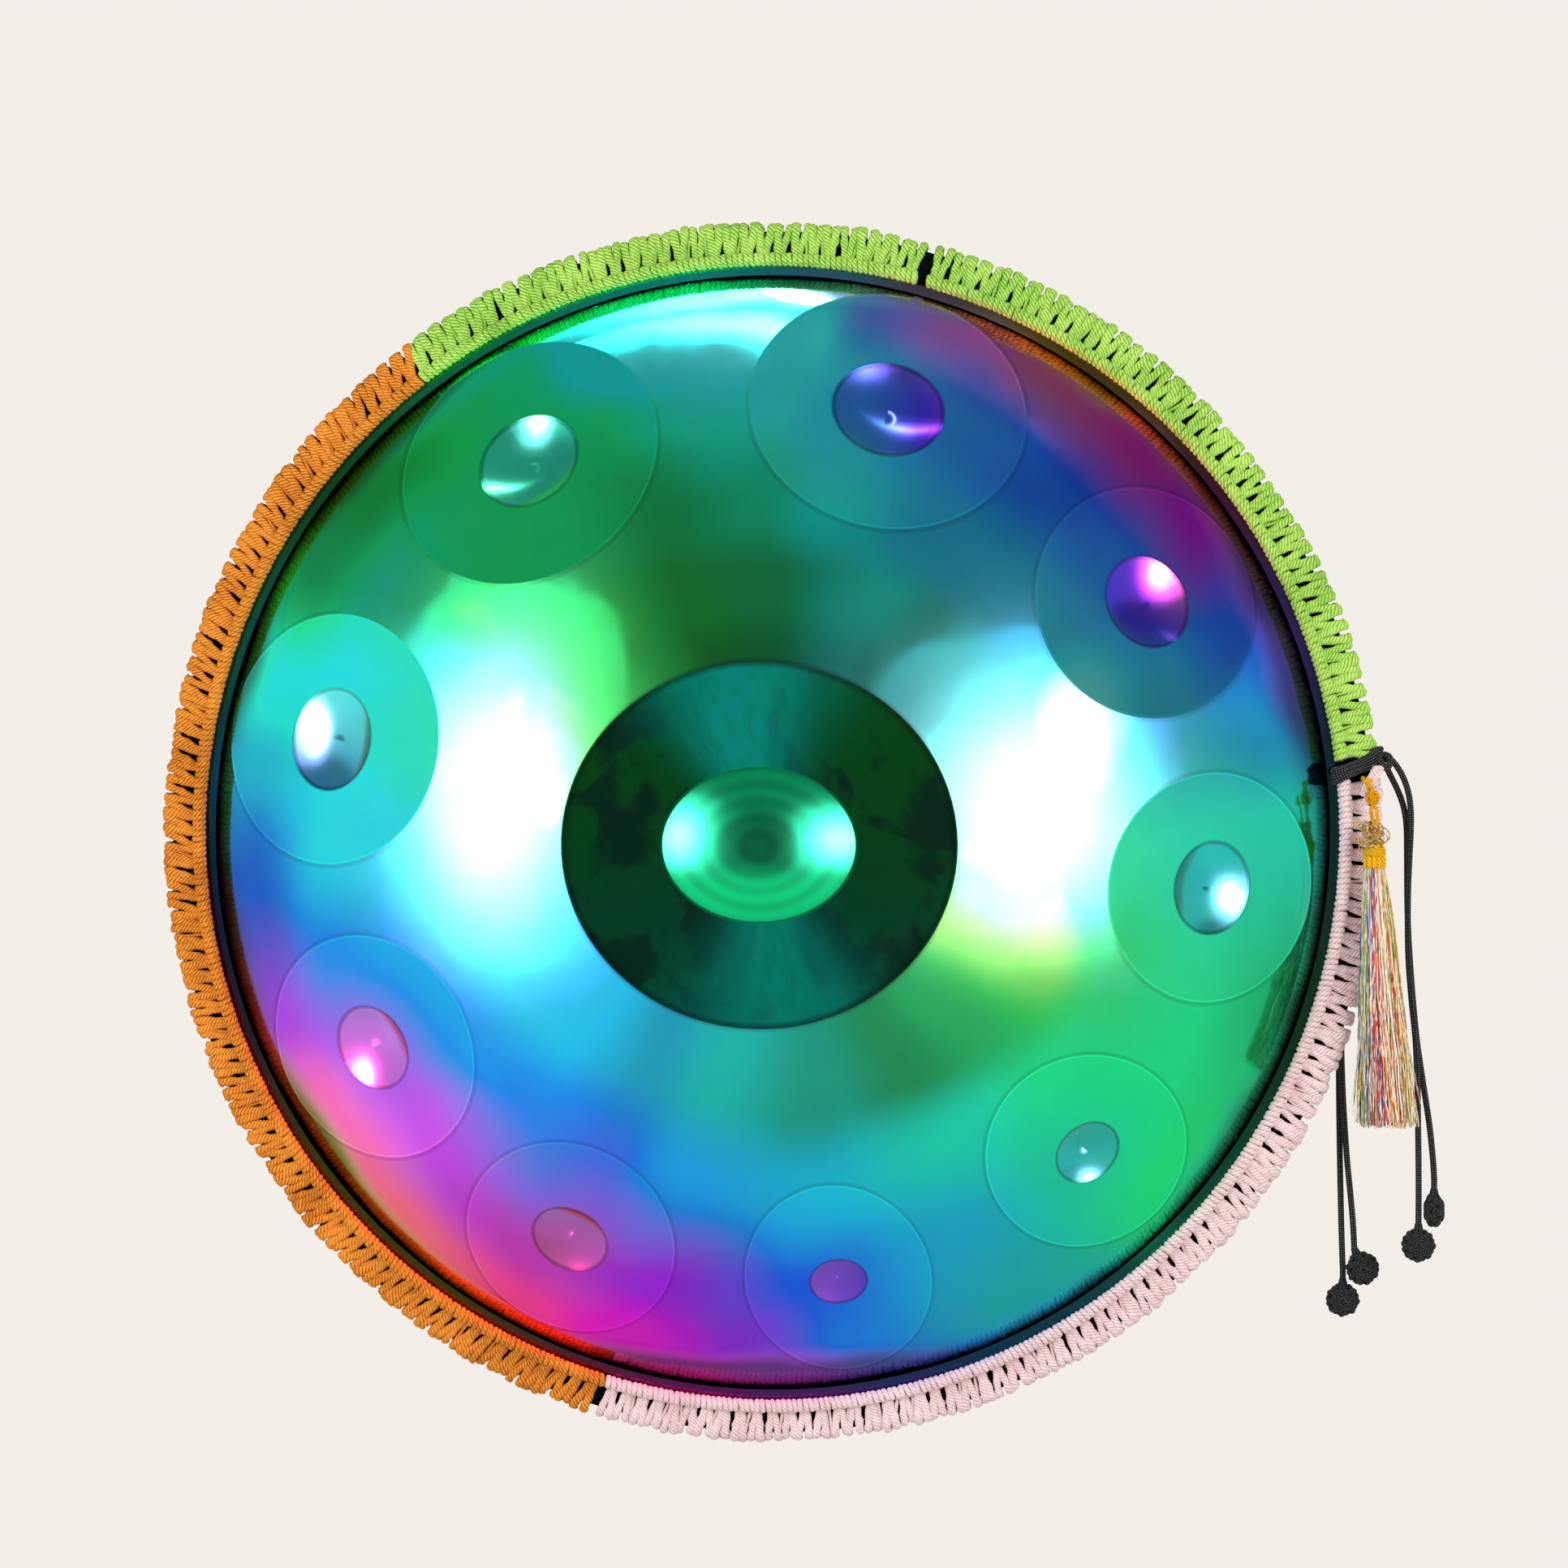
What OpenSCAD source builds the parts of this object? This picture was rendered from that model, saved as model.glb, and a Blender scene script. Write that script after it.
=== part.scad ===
// Handpan with a macrame rim cover, hung upright: the playing side faces -Y and +Z is up.
// The origin is on the axis, where the straight wall of the gu port meets its rolled mouth.
// Round pieces are drawn in the rim's own frame (Z towards the player) and turned by at_rim().

/* [Steel shells] */
// Outer radius of the two steel flanges
flange_r = 280; // [276:1:284]
// Radius at which the domes leave the flanges
dome_r = 264; // [260:1:266]
// Height of the top dome above the seam
top_h = 106; // [100:1:112]
// Depth of the bottom dome below the seam
bowl_h = 104.5; // [100:0.5:110]
// Thickness of the sheet steel
sheet_t = 1.2; // [1:0.1:1.5]
// Thickness of the glue line between the flanges
glue_t = 0.6; // [0.2:0.1:1]

/* [Gu port] */
// Radius of the port's straight wall
port_r = 50; // [40:1:60]
// Length of the port's straight wall
port_l = 25; // [15:1:35]
// Outside radius of the rolled mouth
roll_r = 8; // [5:0.5:10]

/* [Notes] */
// Distance of the outer notes' centres from the axis
ring_r = 208; // [204:1:210]
// Depth of an outer note's dimple as a share of the dimple's radius
dimple_depth = 0.24; // [0.15:0.01:0.3]
// Half width of the centre note, sideways
ding_w = 88.5; // [84:0.5:92]
// Half height of the centre note, up and down
ding_h = 82; // [78:0.5:83]
// Half width of the dome on the centre note, sideways
boss_w = 43.5; // [40:0.5:48]
// Half height of the dome on the centre note, up and down
boss_h = 35; // [30:0.5:39]
// How far the dome stands out of the centre note
boss_rise = 9.5; // [7:0.5:11]

/* [Rim cover] */
// Thickness of each lip of the rubber edge trim
lip_t = 1.5; // [1:0.1:1.5]
// Width of the trim's lips, inwards from the edge of the flange
lip_w = 13; // [12:0.5:14]
// Thickness of the trim outside the flange
web_t = 2.5; // [1.5:0.1:2.5]
// Radius of the wrapped rows that run along the braid's inner edges
row_r = 3.3; // [3:0.1:3.3]
// Radius of the core cord inside each wrapped row
core_r = 1.25; // [1:0.05:1.6]
// Thickness of the strands that cross the rim's edge
strand_t = 2.8; // [2:0.1:2.8]

/* [Hanging cords and tassel] */
// Radius of the black cords
cord_r = 1.45; // [1.2:0.05:1.45]
// Radius of a button knot
knot_r = 8; // [6:0.5:8]
// Thickness of a button knot
knot_t = 9; // [7:0.5:9]
// Radius of the yarn in the tassel's yellow cord
yarn_r = 0.8; // [0.6:0.1:0.8]
// Depth of the tassel's skirt, front to back
skirt_d = 15; // [10:1:15]

/* [Hidden] */
$fn = 180;
fine_fn = 720;  // for the very large cylinders that shape the notes
knot_fn = 48;
tiny = 0.05;

// Outer notes: angle from +X, half width round the ring, half length along the radius, dimple radius
NOTES = [
  [74, 64, 66, 26],
  [122, 63, 65, 24.5],
  [167, 58, 64, 24],
  [208, 54, 59, 20.5],
  [244, 50, 57, 18.5],
  [279.5, 43, 57, 13.5],
  [316, 47, 56, 16],
  [354, 53, 58, 21.5],
  [32, 54, 60, 22]
];

// Braid sections: angles at which each one starts and ends
GREEN_LEFT = [75.1, 127.1];
GREEN_RIGHT = [7.7, 74.1];
ORANGE = [127.3, 253.2];
PINK = [253.4, 365.7];
LASHING = [6, 7.4];

// Spheres that the domes are cut from, and the heights of their centres
top_ball = (dome_r * dome_r + top_h * top_h) / (2 * top_h);
bowl_ball = (dome_r * dome_r + bowl_h * bowl_h) / (2 * bowl_h);
bowl_c = bowl_ball - bowl_h;
// Centre of the port's rolled mouth, which touches the bottom dome from inside
mouth_r = port_r + roll_r;
mouth_z = bowl_c - sqrt(pow(bowl_ball - roll_r, 2) - mouth_r * mouth_r);
mouth_tilt = asin(mouth_r / (bowl_ball - roll_r));
rim_y = mouth_z;

// The dome on the centre note is part of a spindle: an arc turned about a sideways axis
boss_arc = (boss_w * boss_w + boss_rise * boss_rise) / (2 * boss_rise);
boss_mid = (boss_h * boss_h + boss_rise * boss_rise) / (2 * boss_rise);

// Rim cover
flange_z = glue_t / 2 + sheet_t;
lip_z = flange_z + lip_t;
lip_r = flange_r - lip_w;
trim_r = flange_r + web_t;
row_c = lip_r + 6;
row_z = lip_z + row_r;
braid_r = trim_r + 4.9;
strand_z = lip_z + strand_t;
edge_r = 3;
lash_grow = 0.8;

// Routes of the cords, from the lashing down to the knots
FRONT_OUTER = [
  [288, -95, 38], [291, -95.5, 35.5], [294, -95.5, 31.5], [296.5, -95.5, 26.5], [298.5, -95.5, 20],
  [299.5, -95.5, 12], [299.5, -95.5, 2], [299, -95.5, -10], [298.5, -95.5, -25], [298.5, -95.5, -42],
  [299, -95.5, -58], [300.5, -95.5, -76], [302.5, -95.5, -95], [303.5, -95.5, -115],
  [304, -95.5, -136], [304.4, -95.5, -158], [304.5, -95.5, -174], [304.5, -95.5, -181]
];
FRONT_INNER = [
  [288.5, -92.5, 32.5], [290.5, -92.5, 28.5], [293, -92.5, 23.5], [295.3, -92.5, 18], [297, -92.5, 12],
  [298, -92.5, 4], [298.3, -92.5, -10], [298.5, -92.5, -26], [299, -92.5, -42], [300, -92.5, -58],
  [301.5, -92.5, -76], [303.5, -92.5, -95], [306.5, -92.5, -115], [309.5, -92.5, -134],
  [311.3, -92.5, -150], [312, -92.5, -160], [312, -92.5, -165]
];
BACK_LONG = [
  [269.2, -81.2, 36], [269.2, -78, 35.4], [269.2, -75.2, 33.6], [269.2, -73, 31], [269.2, -72, 27.5],
  [269.2, -71.8, 20], [269.2, -71.8, 0], [269.2, -71.8, -30], [269.2, -71.8, -60], [269.3, -71.8, -90],
  [269.6, -71.8, -120], [270.2, -71.8, -150], [271, -71.8, -180], [271.7, -71.8, -200],
  [272, -71.8, -207], [272, -71.8, -211]
];
BACK_SHORT = [
  [270.6, -81.2, 31.6], [270.6, -79, 31.3], [270.6, -76.9, 30.1], [270.6, -75.5, 28],
  [270.5, -75.1, 25], [270.3, -75, 16], [270, -75, 0], [269.7, -75, -30], [269.6, -75, -60],
  [270, -75, -90], [271, -75, -120], [273, -75, -150], [275, -75, -170], [276.3, -75, -184],
  [277, -75, -196]
];
// Button knots: the middle of each one and its lean from the vertical
FRONT_OUTER_KNOT = [304.5, -95.5, -191];
FRONT_INNER_KNOT = [312, -92.5, -175];
BACK_LONG_KNOT = [272, -71.8, -221];
BACK_SHORT_KNOT = [281, -75, -205.5];
back_lean = 20;
neck_r = 2;
neck_l = 3;

// Tassel: the pin it hangs on, its knot, and the ball joint where the head hangs from the cord
tassel_y = -107.5;
TIE = [278, tassel_y, 26.5];
YARN_KNOT = [280.5, tassel_y, 19];
PIVOT = [281.5, tassel_y, 8];
pin_r = 1;
pin_play = 0.08;
tie_bead_r = 1.9;
yarn_knot_r = 3;
pivot_r = 1.5;
seat_r = 1.6;
seat_drop = 0.9;
stem_r = 2.2;
cup_r = 4.8;
cup_top = -4;
cup_bottom = -13.8;
wire_r = 7;
skirt_top_r = 6;
skirt_end_r = 14.5;
skirt_bottom = -133;
skirt_lean = 3.4;

module at_rim() {
  translate([0, rim_y, 0])
    rotate([90, 0, 0])
      children();
}

// A cylinder through a ball: their curves meet in a note's outline, 2 a wide and 2 b long
module note_limit(ball, a, b, off) {
  flat = sqrt(ball * ball - a * a);
  drop = flat - sqrt(ball * ball - b * b);
  big = (b * b + drop * drop) / (2 * drop);
  translate([0, 0, flat - big])
    rotate([90, 0, 0])
      cylinder(r = big - off, h = 900, center = true, $fn = fine_fn);
}

module at_note(n) {
  rotate([0, 0, n[0]])
    rotate([0, asin(ring_r / top_ball), 0])
      children();
}

// The centre note's dome, as the top of a spindle lying sideways
module boss(off) {
  intersection() {
    translate([0, 0, top_h - boss_mid])
      rotate([0, 90, 0])
        rotate_extrude()
          intersection() {
            translate([boss_mid - boss_arc, 0])
              circle(boss_arc - off);
            translate([0, -boss_arc])
              square([boss_arc, 2 * boss_arc]);
          }
    translate([-boss_w - 5, -boss_h - 5, top_h - 2 * boss_rise])
      cube([2 * boss_w + 10, 2 * boss_h + 10, 3 * boss_rise]);
  }
}

module dimple(n, off) {
  r = n[3];
  depth = r * dimple_depth;
  ball = (r * r + depth * depth) / (2 * depth);
  at_note(n)
    translate([0, 0, sqrt(top_ball * top_ball - n[1] * n[1]) + ball - depth])
      sphere(ball + off);
}

// The body under the top dome's skin, off mm inside its outer surface
module dome(off, base) {
  union() {
    difference() {
      intersection() {
        translate([0, 0, base])
          cylinder(r = flange_r, h = 2 * top_h);
        translate([0, 0, top_h - top_ball]) {
          intersection() {
            sphere(top_ball - off);
            note_limit(top_ball, ding_h, ding_w, off);
            intersection_for (n = NOTES) {
              at_note(n)
                note_limit(top_ball, n[1], n[2], off);
            }
          }
        }
      }
      translate([0, 0, top_h - top_ball]) {
        for (n = NOTES) {
          dimple(n, off);
        }
      }
    }
    boss(off);
  }
}

module top_shell() {
  color("mediumturquoise")
    at_rim()
      difference() {
        union() {
          dome(0, glue_t / 2);
          translate([0, 0, glue_t / 2])
            cylinder(r = flange_r, h = sheet_t);
        }
        dome(sheet_t, -1);
      }
}

// Half section of the bottom dome's body with its port, off mm inside the outer surface
module bowl_section(off) {
  difference() {
    union() {
      difference() {
        intersection() {
          translate([0, bowl_c])
            circle(bowl_ball - off, $fn = fine_fn);
          translate([0, -2 * bowl_h])
            square([flange_r, 2 * bowl_h - glue_t / 2 + off]);
        }
        polygon([
          [-1, mouth_z], [mouth_r, mouth_z],
          [mouth_r + 40 * tan(mouth_tilt), mouth_z - 40], [-1, mouth_z - 40]
        ]);
      }
      translate([mouth_r, mouth_z])
        circle(roll_r - off);
    }
    translate([-1, mouth_z - 40])
      square([port_r + off + 1, 40 + (off > 0 ? port_l : bowl_h * 2)]);
  }
}

module bottom_shell() {
  color("mediumpurple")
    at_rim()
      rotate_extrude()
        difference() {
          union() {
            bowl_section(0);
            translate([dome_r - 2, -flange_z])
              square([flange_r - dome_r + 2, sheet_t]);
          }
          bowl_section(sheet_t);
        }
}

module seam_glue() {
  color("gray")
    at_rim()
      translate([0, 0, -glue_t / 2])
        difference() {
          cylinder(r = flange_r - 0.5, h = glue_t);
          translate([0, 0, -1])
            cylinder(r = dome_r + 1, h = glue_t + 2);
        }
}

module edge_trim() {
  color("black")
    at_rim()
      rotate_extrude()
        difference() {
          translate([lip_r, -lip_z])
            square([trim_r - lip_r, 2 * lip_z]);
          translate([0, -flange_z])
            square([flange_r, 2 * flange_z]);
        }
}

// Section of the braid over the rim: two wrapped rows and the strands between them
module braid_section(grow) {
  difference() {
    union() {
      for (side = [-1, 1]) {
        translate([row_c, side * row_z])
          circle(row_r + grow, $fn = knot_fn);
        translate([braid_r + grow - edge_r, side * (strand_z + grow - edge_r)])
          circle(edge_r, $fn = knot_fn);
      }
      translate([row_c, -strand_z - grow])
        square([braid_r + grow - edge_r - row_c, 2 * (strand_z + grow)]);
      translate([row_c, edge_r - strand_z - grow])
        square([braid_r + grow - row_c, 2 * (strand_z + grow - edge_r)]);
    }
    translate([0, -lip_z])
      square([trim_r, 2 * lip_z]);
  }
}

module hitches(span, tint) {
  color(tint)
    at_rim()
      rotate_extrude(start = span[0], angle = span[1] - span[0])
        difference() {
          braid_section(0);
          for (side = [-1, 1]) {
            translate([row_c, side * row_z])
              circle(core_r + tiny, $fn = knot_fn);
          }
        }
}

// A core cord inside a wrapped row, side 1 for the front row and -1 for the back row
module core(span, side, tint) {
  color(tint)
    at_rim()
      rotate_extrude(start = span[0], angle = span[1] - span[0])
        translate([row_c, side * row_z])
          circle(core_r, $fn = knot_fn);
}

module lashing() {
  color("black")
    at_rim()
      rotate_extrude(start = LASHING[0], angle = LASHING[1] - LASHING[0])
        braid_section(lash_grow);
}

// Direction of a route at its point i
function heading(route, i) =
  let (d = route[min(i + 1, len(route) - 1)] - route[max(i - 1, 0)]) d / norm(d);

// One ring of a tube, square to the route, with its corners counted from the axis called side
function ring(route, i, r, n, side) =
  let (
    t = heading(route, i),
    across = cross(t, side),
    u = across / norm(across),
    v = cross(t, u)
  )
  [for (k = [0 : n - 1]) route[i] + r * cos(360 * k / n) * u + r * sin(360 * k / n) * v];

// A tube along a route's points, with n sides
module tube(route, r, side, n = 8) {
  last = len(route) - 1;
  points = [for (i = [0 : last]) each ring(route, i, r, n, side)];
  walls = [
    for (i = [0 : last - 1], k = [0 : n - 1])
      let (a = i * n + k, b = i * n + (k + 1) % n)
        each [[a, b, b + n], [a, b + n, a + n]]
  ];
  start_cap = [for (k = [n - 1 : -1 : 0]) k];
  end_cap = [for (k = [0 : n - 1]) last * n + k];
  polyhedron(points = points, faces = concat(walls, [start_cap], [end_cap]));
}

module cord(route, side) {
  color("black")
    tube(route, cord_r, side);
}

// A flat round knot with a short neck, facing +Y or turned by turn degrees about the vertical
module button_knot(middle, turn = 0, lean = 0) {
  bulge = knot_t / 2;
  color("black")
    translate(middle)
      rotate([0, -lean, turn])
        union() {
          rotate([90, 0, 0])
            rotate_extrude($fn = knot_fn) {
              translate([0, -bulge])
                square([knot_r - bulge, knot_t]);
              intersection() {
                translate([knot_r - bulge, 0])
                  circle(bulge, $fn = knot_fn);
                translate([0, -knot_t])
                  square([knot_r + 1, 2 * knot_t]);
              }
            }
          translate([0, 0, knot_r - 1])
            cylinder(r = neck_r, h = neck_l, $fn = knot_fn);
        }
}

// A round bar from one point to another
module bar(from, to, r) {
  d = to - from;
  translate(from)
    rotate([0, acos(d[2] / norm(d)), atan2(d[1], d[0])])
      cylinder(r = r, h = norm(d), $fn = knot_fn);
}

module tassel_tie() {
  front_y = rim_y - strand_z;
  bead_y = tassel_y - yarn_r - tie_bead_r - 0.3;
  color("orange") {
    bar([TIE[0], front_y, TIE[2]], [TIE[0], bead_y, TIE[2]], pin_r);
    translate([TIE[0], bead_y, TIE[2]])
      sphere(tie_bead_r, $fn = knot_fn);
  }
}

module tassel_cord() {
  loop_r = pin_r + pin_play + yarn_r;
  color("orange")
    union() {
      translate(TIE)
        rotate([90, 0, 0])
          rotate_extrude($fn = knot_fn)
            translate([loop_r, 0])
              circle(yarn_r, $fn = knot_fn);
      bar(TIE + [0.6, 0, -loop_r], YARN_KNOT, yarn_r);
      translate(YARN_KNOT)
        sphere(yarn_knot_r, $fn = knot_fn);
      for (side = [-1, 1]) {
        bar(YARN_KNOT + [side, 0, 0], PIVOT + [side * 0.5, 0, 0], yarn_r);
      }
      translate(PIVOT)
        sphere(pivot_r, $fn = knot_fn);
    }
}

// The cap's stem reaches up to a round seat below the cord's end
module tassel_cap() {
  color("gold")
    difference() {
      union() {
        translate([PIVOT[0], tassel_y, cup_top])
          cylinder(r = stem_r, h = PIVOT[2] - seat_drop - cup_top, $fn = knot_fn);
        translate([PIVOT[0], tassel_y, cup_bottom])
          cylinder(r = cup_r, h = cup_top - cup_bottom, $fn = knot_fn);
      }
      translate(PIVOT)
        sphere(seat_r, $fn = knot_fn);
    }
}

module tassel_wire() {
  color("khaki")
    difference() {
      translate([PIVOT[0], tassel_y, 0])
        sphere(wire_r, $fn = knot_fn);
      translate([PIVOT[0], tassel_y, -2 * wire_r])
        cylinder(r = stem_r + tiny, h = 4 * wire_r, $fn = knot_fn);
      translate([PIVOT[0] - wire_r, tassel_y - wire_r, cup_top - 2 * wire_r])
        cube([2 * wire_r, 2 * wire_r, 2 * wire_r]);
    }
}

module tassel_skirt() {
  length = cup_bottom - skirt_bottom;
  color("lightyellow")
    intersection() {
      translate([PIVOT[0], tassel_y, cup_bottom])
        rotate([0, 180 - skirt_lean, 0])
          translate([0, 0, -2])
            cylinder(r1 = skirt_top_r, r2 = skirt_end_r, h = length + 4, $fn = knot_fn);
      translate([PIVOT[0] - 50, tassel_y - skirt_d / 2, skirt_bottom])
        cube([100, skirt_d, length]);
    }
}

top_shell();
bottom_shell();
seam_glue();
edge_trim();
core(GREEN_LEFT, 1, "yellowgreen");  // green_left_front_core
core(GREEN_LEFT, -1, "yellowgreen");  // green_left_back_core
hitches(GREEN_LEFT, "yellowgreen");  // green_left_hitches
core(GREEN_RIGHT, 1, "yellowgreen");  // green_right_front_core
core(GREEN_RIGHT, -1, "yellowgreen");  // green_right_back_core
hitches(GREEN_RIGHT, "yellowgreen");  // green_right_hitches
core(ORANGE, 1, "peru");  // orange_front_core
core(ORANGE, -1, "peru");  // orange_back_core
hitches(ORANGE, "peru");  // orange_hitches
core(PINK, 1, "pink");  // pink_front_core
core(PINK, -1, "pink");  // pink_back_core
hitches(PINK, "pink");  // pink_hitches
lashing();
cord(FRONT_OUTER, [0, 1, 0]);  // front_cord_outer
cord(FRONT_INNER, [0, 1, 0]);  // front_cord_inner
cord(BACK_LONG, [1, 0, 0]);  // back_cord_long
cord(BACK_SHORT, [1, 0, 0]);  // back_cord_short
button_knot(FRONT_OUTER_KNOT);  // front_knot_outer
button_knot(FRONT_INNER_KNOT, 90);  // front_knot_inner
button_knot(BACK_LONG_KNOT);  // back_knot_long
button_knot(BACK_SHORT_KNOT, 0, back_lean);  // back_knot_short
tassel_tie();
tassel_cord();
tassel_wire();
tassel_cap();
tassel_skirt();
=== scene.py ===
"""Looks of the handpan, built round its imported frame.

Metres. The playing side faces -Y, +Z is up, and the tassel hangs at +X.
"""

import math
import random
from functools import reduce

import bpy
import numpy as np
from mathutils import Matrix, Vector


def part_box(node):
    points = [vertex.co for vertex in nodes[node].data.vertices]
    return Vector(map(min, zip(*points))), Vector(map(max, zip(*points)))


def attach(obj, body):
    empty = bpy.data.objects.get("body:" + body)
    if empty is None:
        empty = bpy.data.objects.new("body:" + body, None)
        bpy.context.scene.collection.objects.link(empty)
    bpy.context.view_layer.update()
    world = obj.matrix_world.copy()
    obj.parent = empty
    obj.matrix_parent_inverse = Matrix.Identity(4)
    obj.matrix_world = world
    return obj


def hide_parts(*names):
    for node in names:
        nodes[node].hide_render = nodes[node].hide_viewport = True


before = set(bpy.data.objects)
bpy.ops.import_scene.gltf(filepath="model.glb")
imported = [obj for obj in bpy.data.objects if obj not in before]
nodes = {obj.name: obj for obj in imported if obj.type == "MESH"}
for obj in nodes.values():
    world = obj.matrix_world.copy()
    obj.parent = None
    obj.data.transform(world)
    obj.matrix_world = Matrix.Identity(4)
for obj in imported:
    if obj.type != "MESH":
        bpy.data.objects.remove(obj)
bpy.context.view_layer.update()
scene = bpy.context.scene
MM = 0.001

# The rim, from the frame: its centre, the rubber trim's outer radius and half thickness, and the
# yarn rows of the cover: a row's own radius, the radius that it runs at, and its height
trim_low, trim_high = (Vector(p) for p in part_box("edge_trim"))
RIM = (trim_low + trim_high) / 2
TRIM_R = (trim_high.x - trim_low.x) / 2
LIP_H = (trim_high.y - trim_low.y) / 2
ROW_R = 3.3 * MM
ROW_C = TRIM_R - 13.2 * MM
ROW_H = LIP_H + ROW_R


# -------------------------------------------- geometry helpers
def unit(v):
    v = np.asarray(v, float)
    return v / np.linalg.norm(v, axis=-1, keepdims=True)


def at_rim(angle, r, h):
    """Points at an angle round the rim, a radius, and a height towards the player."""
    angle, r, h = np.broadcast_arrays(angle, r, h)
    return np.stack([r * np.cos(angle), RIM.y - h, r * np.sin(angle)], axis=-1)


def smooth_path(points, step):
    """A Catmull-Rom curve through the points, with a point about every step."""
    p = np.asarray(points, float)
    p = np.vstack([2 * p[0] - p[1], p, 2 * p[-1] - p[-2]])
    out = []
    for i in range(1, len(p) - 2):
        a, b, c, d = p[i - 1 : i + 3]
        n = max(2, int(np.linalg.norm(c - b) / step))
        t = (np.arange(n) / n)[:, None]
        curve = (2 * a - 5 * b + 4 * c - d) * t**2 + (3 * b - a - 3 * c + d) * t**3
        out.append((2 * b + (c - a) * t + curve) / 2)
    out.append(p[-2][None])
    return np.vstack(out)


ROUGHEN = np.random.default_rng(5)


class Builder:
    """Collects tubes into one mesh, with UVs along (u, in metres) and round (v) each tube."""

    def __init__(self):
        self.verts, self.faces, self.uvs, self.marks = [], [], [], []
        self.count = 0

    def tube(self, path, wide, thick, sides=8, normal=None, closed=False, lobes=0, lobe=0.0,
             turn=0.0, mark=0, weave=None, rough=0.0):
        """A tube along the path. wide and thick are its half sizes across and along the normal.
        lobes ridges run round it, turning by turn radians a metre. weave changes the radius, and
        rough is how far it strays at random, as a share of it."""
        p = np.asarray(path, float)
        n = len(p)
        if closed:
            t = unit(np.roll(p, -1, 0) - np.roll(p, 1, 0))
        else:
            t = unit(np.gradient(p, axis=0))
        if normal is None:
            u = np.empty_like(p)
            seed = np.array([0.0, -1.0, 0.0]) if abs(t[0][1]) < 0.9 else np.array([1.0, 0, 0])
            u[0] = unit(seed - t[0] * (seed @ t[0]))
            for i in range(1, n):
                u[i] = unit(u[i - 1] - t[i] * (u[i - 1] @ t[i]))
        else:
            u = np.asarray(normal, float)
            u = unit(u - t * (u * t).sum(1, keepdims=True))
        v = np.cross(t, u)
        along = np.concatenate([[0], np.cumsum(np.linalg.norm(np.diff(p, axis=0), axis=1))])
        a = np.arange(sides) * 2 * math.pi / sides
        size = np.ones((n, sides))
        if lobes:
            size += lobe * np.cos(lobes * a[None] + turn * along[:, None])
        if weave is not None:
            size += weave(a[None], along[:, None])
        if rough:
            size += ROUGHEN.uniform(-rough, rough, size.shape)
        wide = np.broadcast_to(wide, n)[:, None]
        thick = np.broadcast_to(thick, n)[:, None]
        ring = p[:, None] + (thick * np.cos(a) * size)[..., None] * u[:, None]
        ring = ring + (wide * np.sin(a) * size)[..., None] * v[:, None]
        base = self.count
        self.verts.append(ring.reshape(-1, 3))
        self.count += n * sides
        rows = n if closed else n - 1
        i, k = np.meshgrid(np.arange(rows), np.arange(sides), indexing="ij")
        j, m = (i + 1) % n, (k + 1) % sides
        quads = np.stack([i * sides + k, i * sides + m, j * sides + m, j * sides + k], -1)
        self.faces.append(quads.reshape(-1, 4) + base)
        top = np.append(along, along[-1] + np.linalg.norm(p[0] - p[-1]))
        corners = ((0, 0), (0, 1), (1, 1), (1, 0))
        uv = np.stack([np.stack([top[i + on], (k + over) / sides], -1) for on, over in corners], 2)
        self.uvs.append(uv.reshape(-1, 2))
        self.marks.append(np.full(rows * sides, mark))
        if not closed:
            tips = (p[0] - t[0] * thick[0] / 2, 0), (p[-1] + t[-1] * thick[-1] / 2, n - 1)
            for end, first in tips:
                k = np.arange(sides)
                a1, a2 = base + first * sides + k, base + first * sides + (k + 1) % sides
                tip = np.full(sides, self.count)
                tri = (a1, tip, a2) if first == 0 else (a1, a2, tip)
                self.verts.append(end[None])
                self.count += 1
                # a triangle is kept as a quad whose last corner is -1
                self.faces.append(np.stack([*tri, np.full(sides, -1)], -1))
                end_uv = np.stack([np.full((sides, 3), along[first]), np.repeat(k[:, None] / sides, 3, 1)], -1)
                self.uvs.append(end_uv.reshape(-1, 2))
                self.marks.append(np.full(sides, mark))

    def build(self, name, materials):
        faces = np.vstack(self.faces)
        verts = np.vstack(self.verts)
        sizes = (faces >= 0).sum(1)
        loops = faces[faces >= 0]
        mesh = bpy.data.meshes.new(name)
        mesh.vertices.add(len(verts))
        mesh.vertices.foreach_set("co", verts.astype(np.float32).ravel())
        mesh.loops.add(len(loops))
        mesh.loops.foreach_set("vertex_index", loops.astype(np.int32))
        mesh.polygons.add(len(faces))
        starts = np.concatenate([[0], np.cumsum(sizes)[:-1]])
        mesh.polygons.foreach_set("loop_start", starts.astype(np.int32))
        mesh.polygons.foreach_set("material_index", np.concatenate(self.marks).astype(np.int32))
        layer = mesh.uv_layers.new(name="along")
        layer.data.foreach_set("uv", np.vstack(self.uvs).astype(np.float32).ravel())
        mesh.update(calc_edges=True)
        mesh.validate()
        mesh.shade_smooth()
        obj = bpy.data.objects.new(name, mesh)
        scene.collection.objects.link(obj)
        for m in materials:
            mesh.materials.append(m)
        return obj


# -------------------------------------------- materials
def linear(r, g, b):
    """A colour given as 0-255 sRGB, as scene-linear RGBA."""
    return tuple((c / 255 / 12.92) if c <= 10 else ((c / 255 + 0.055) / 1.055) ** 2.4 for c in (r, g, b)) + (1.0,)


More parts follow.
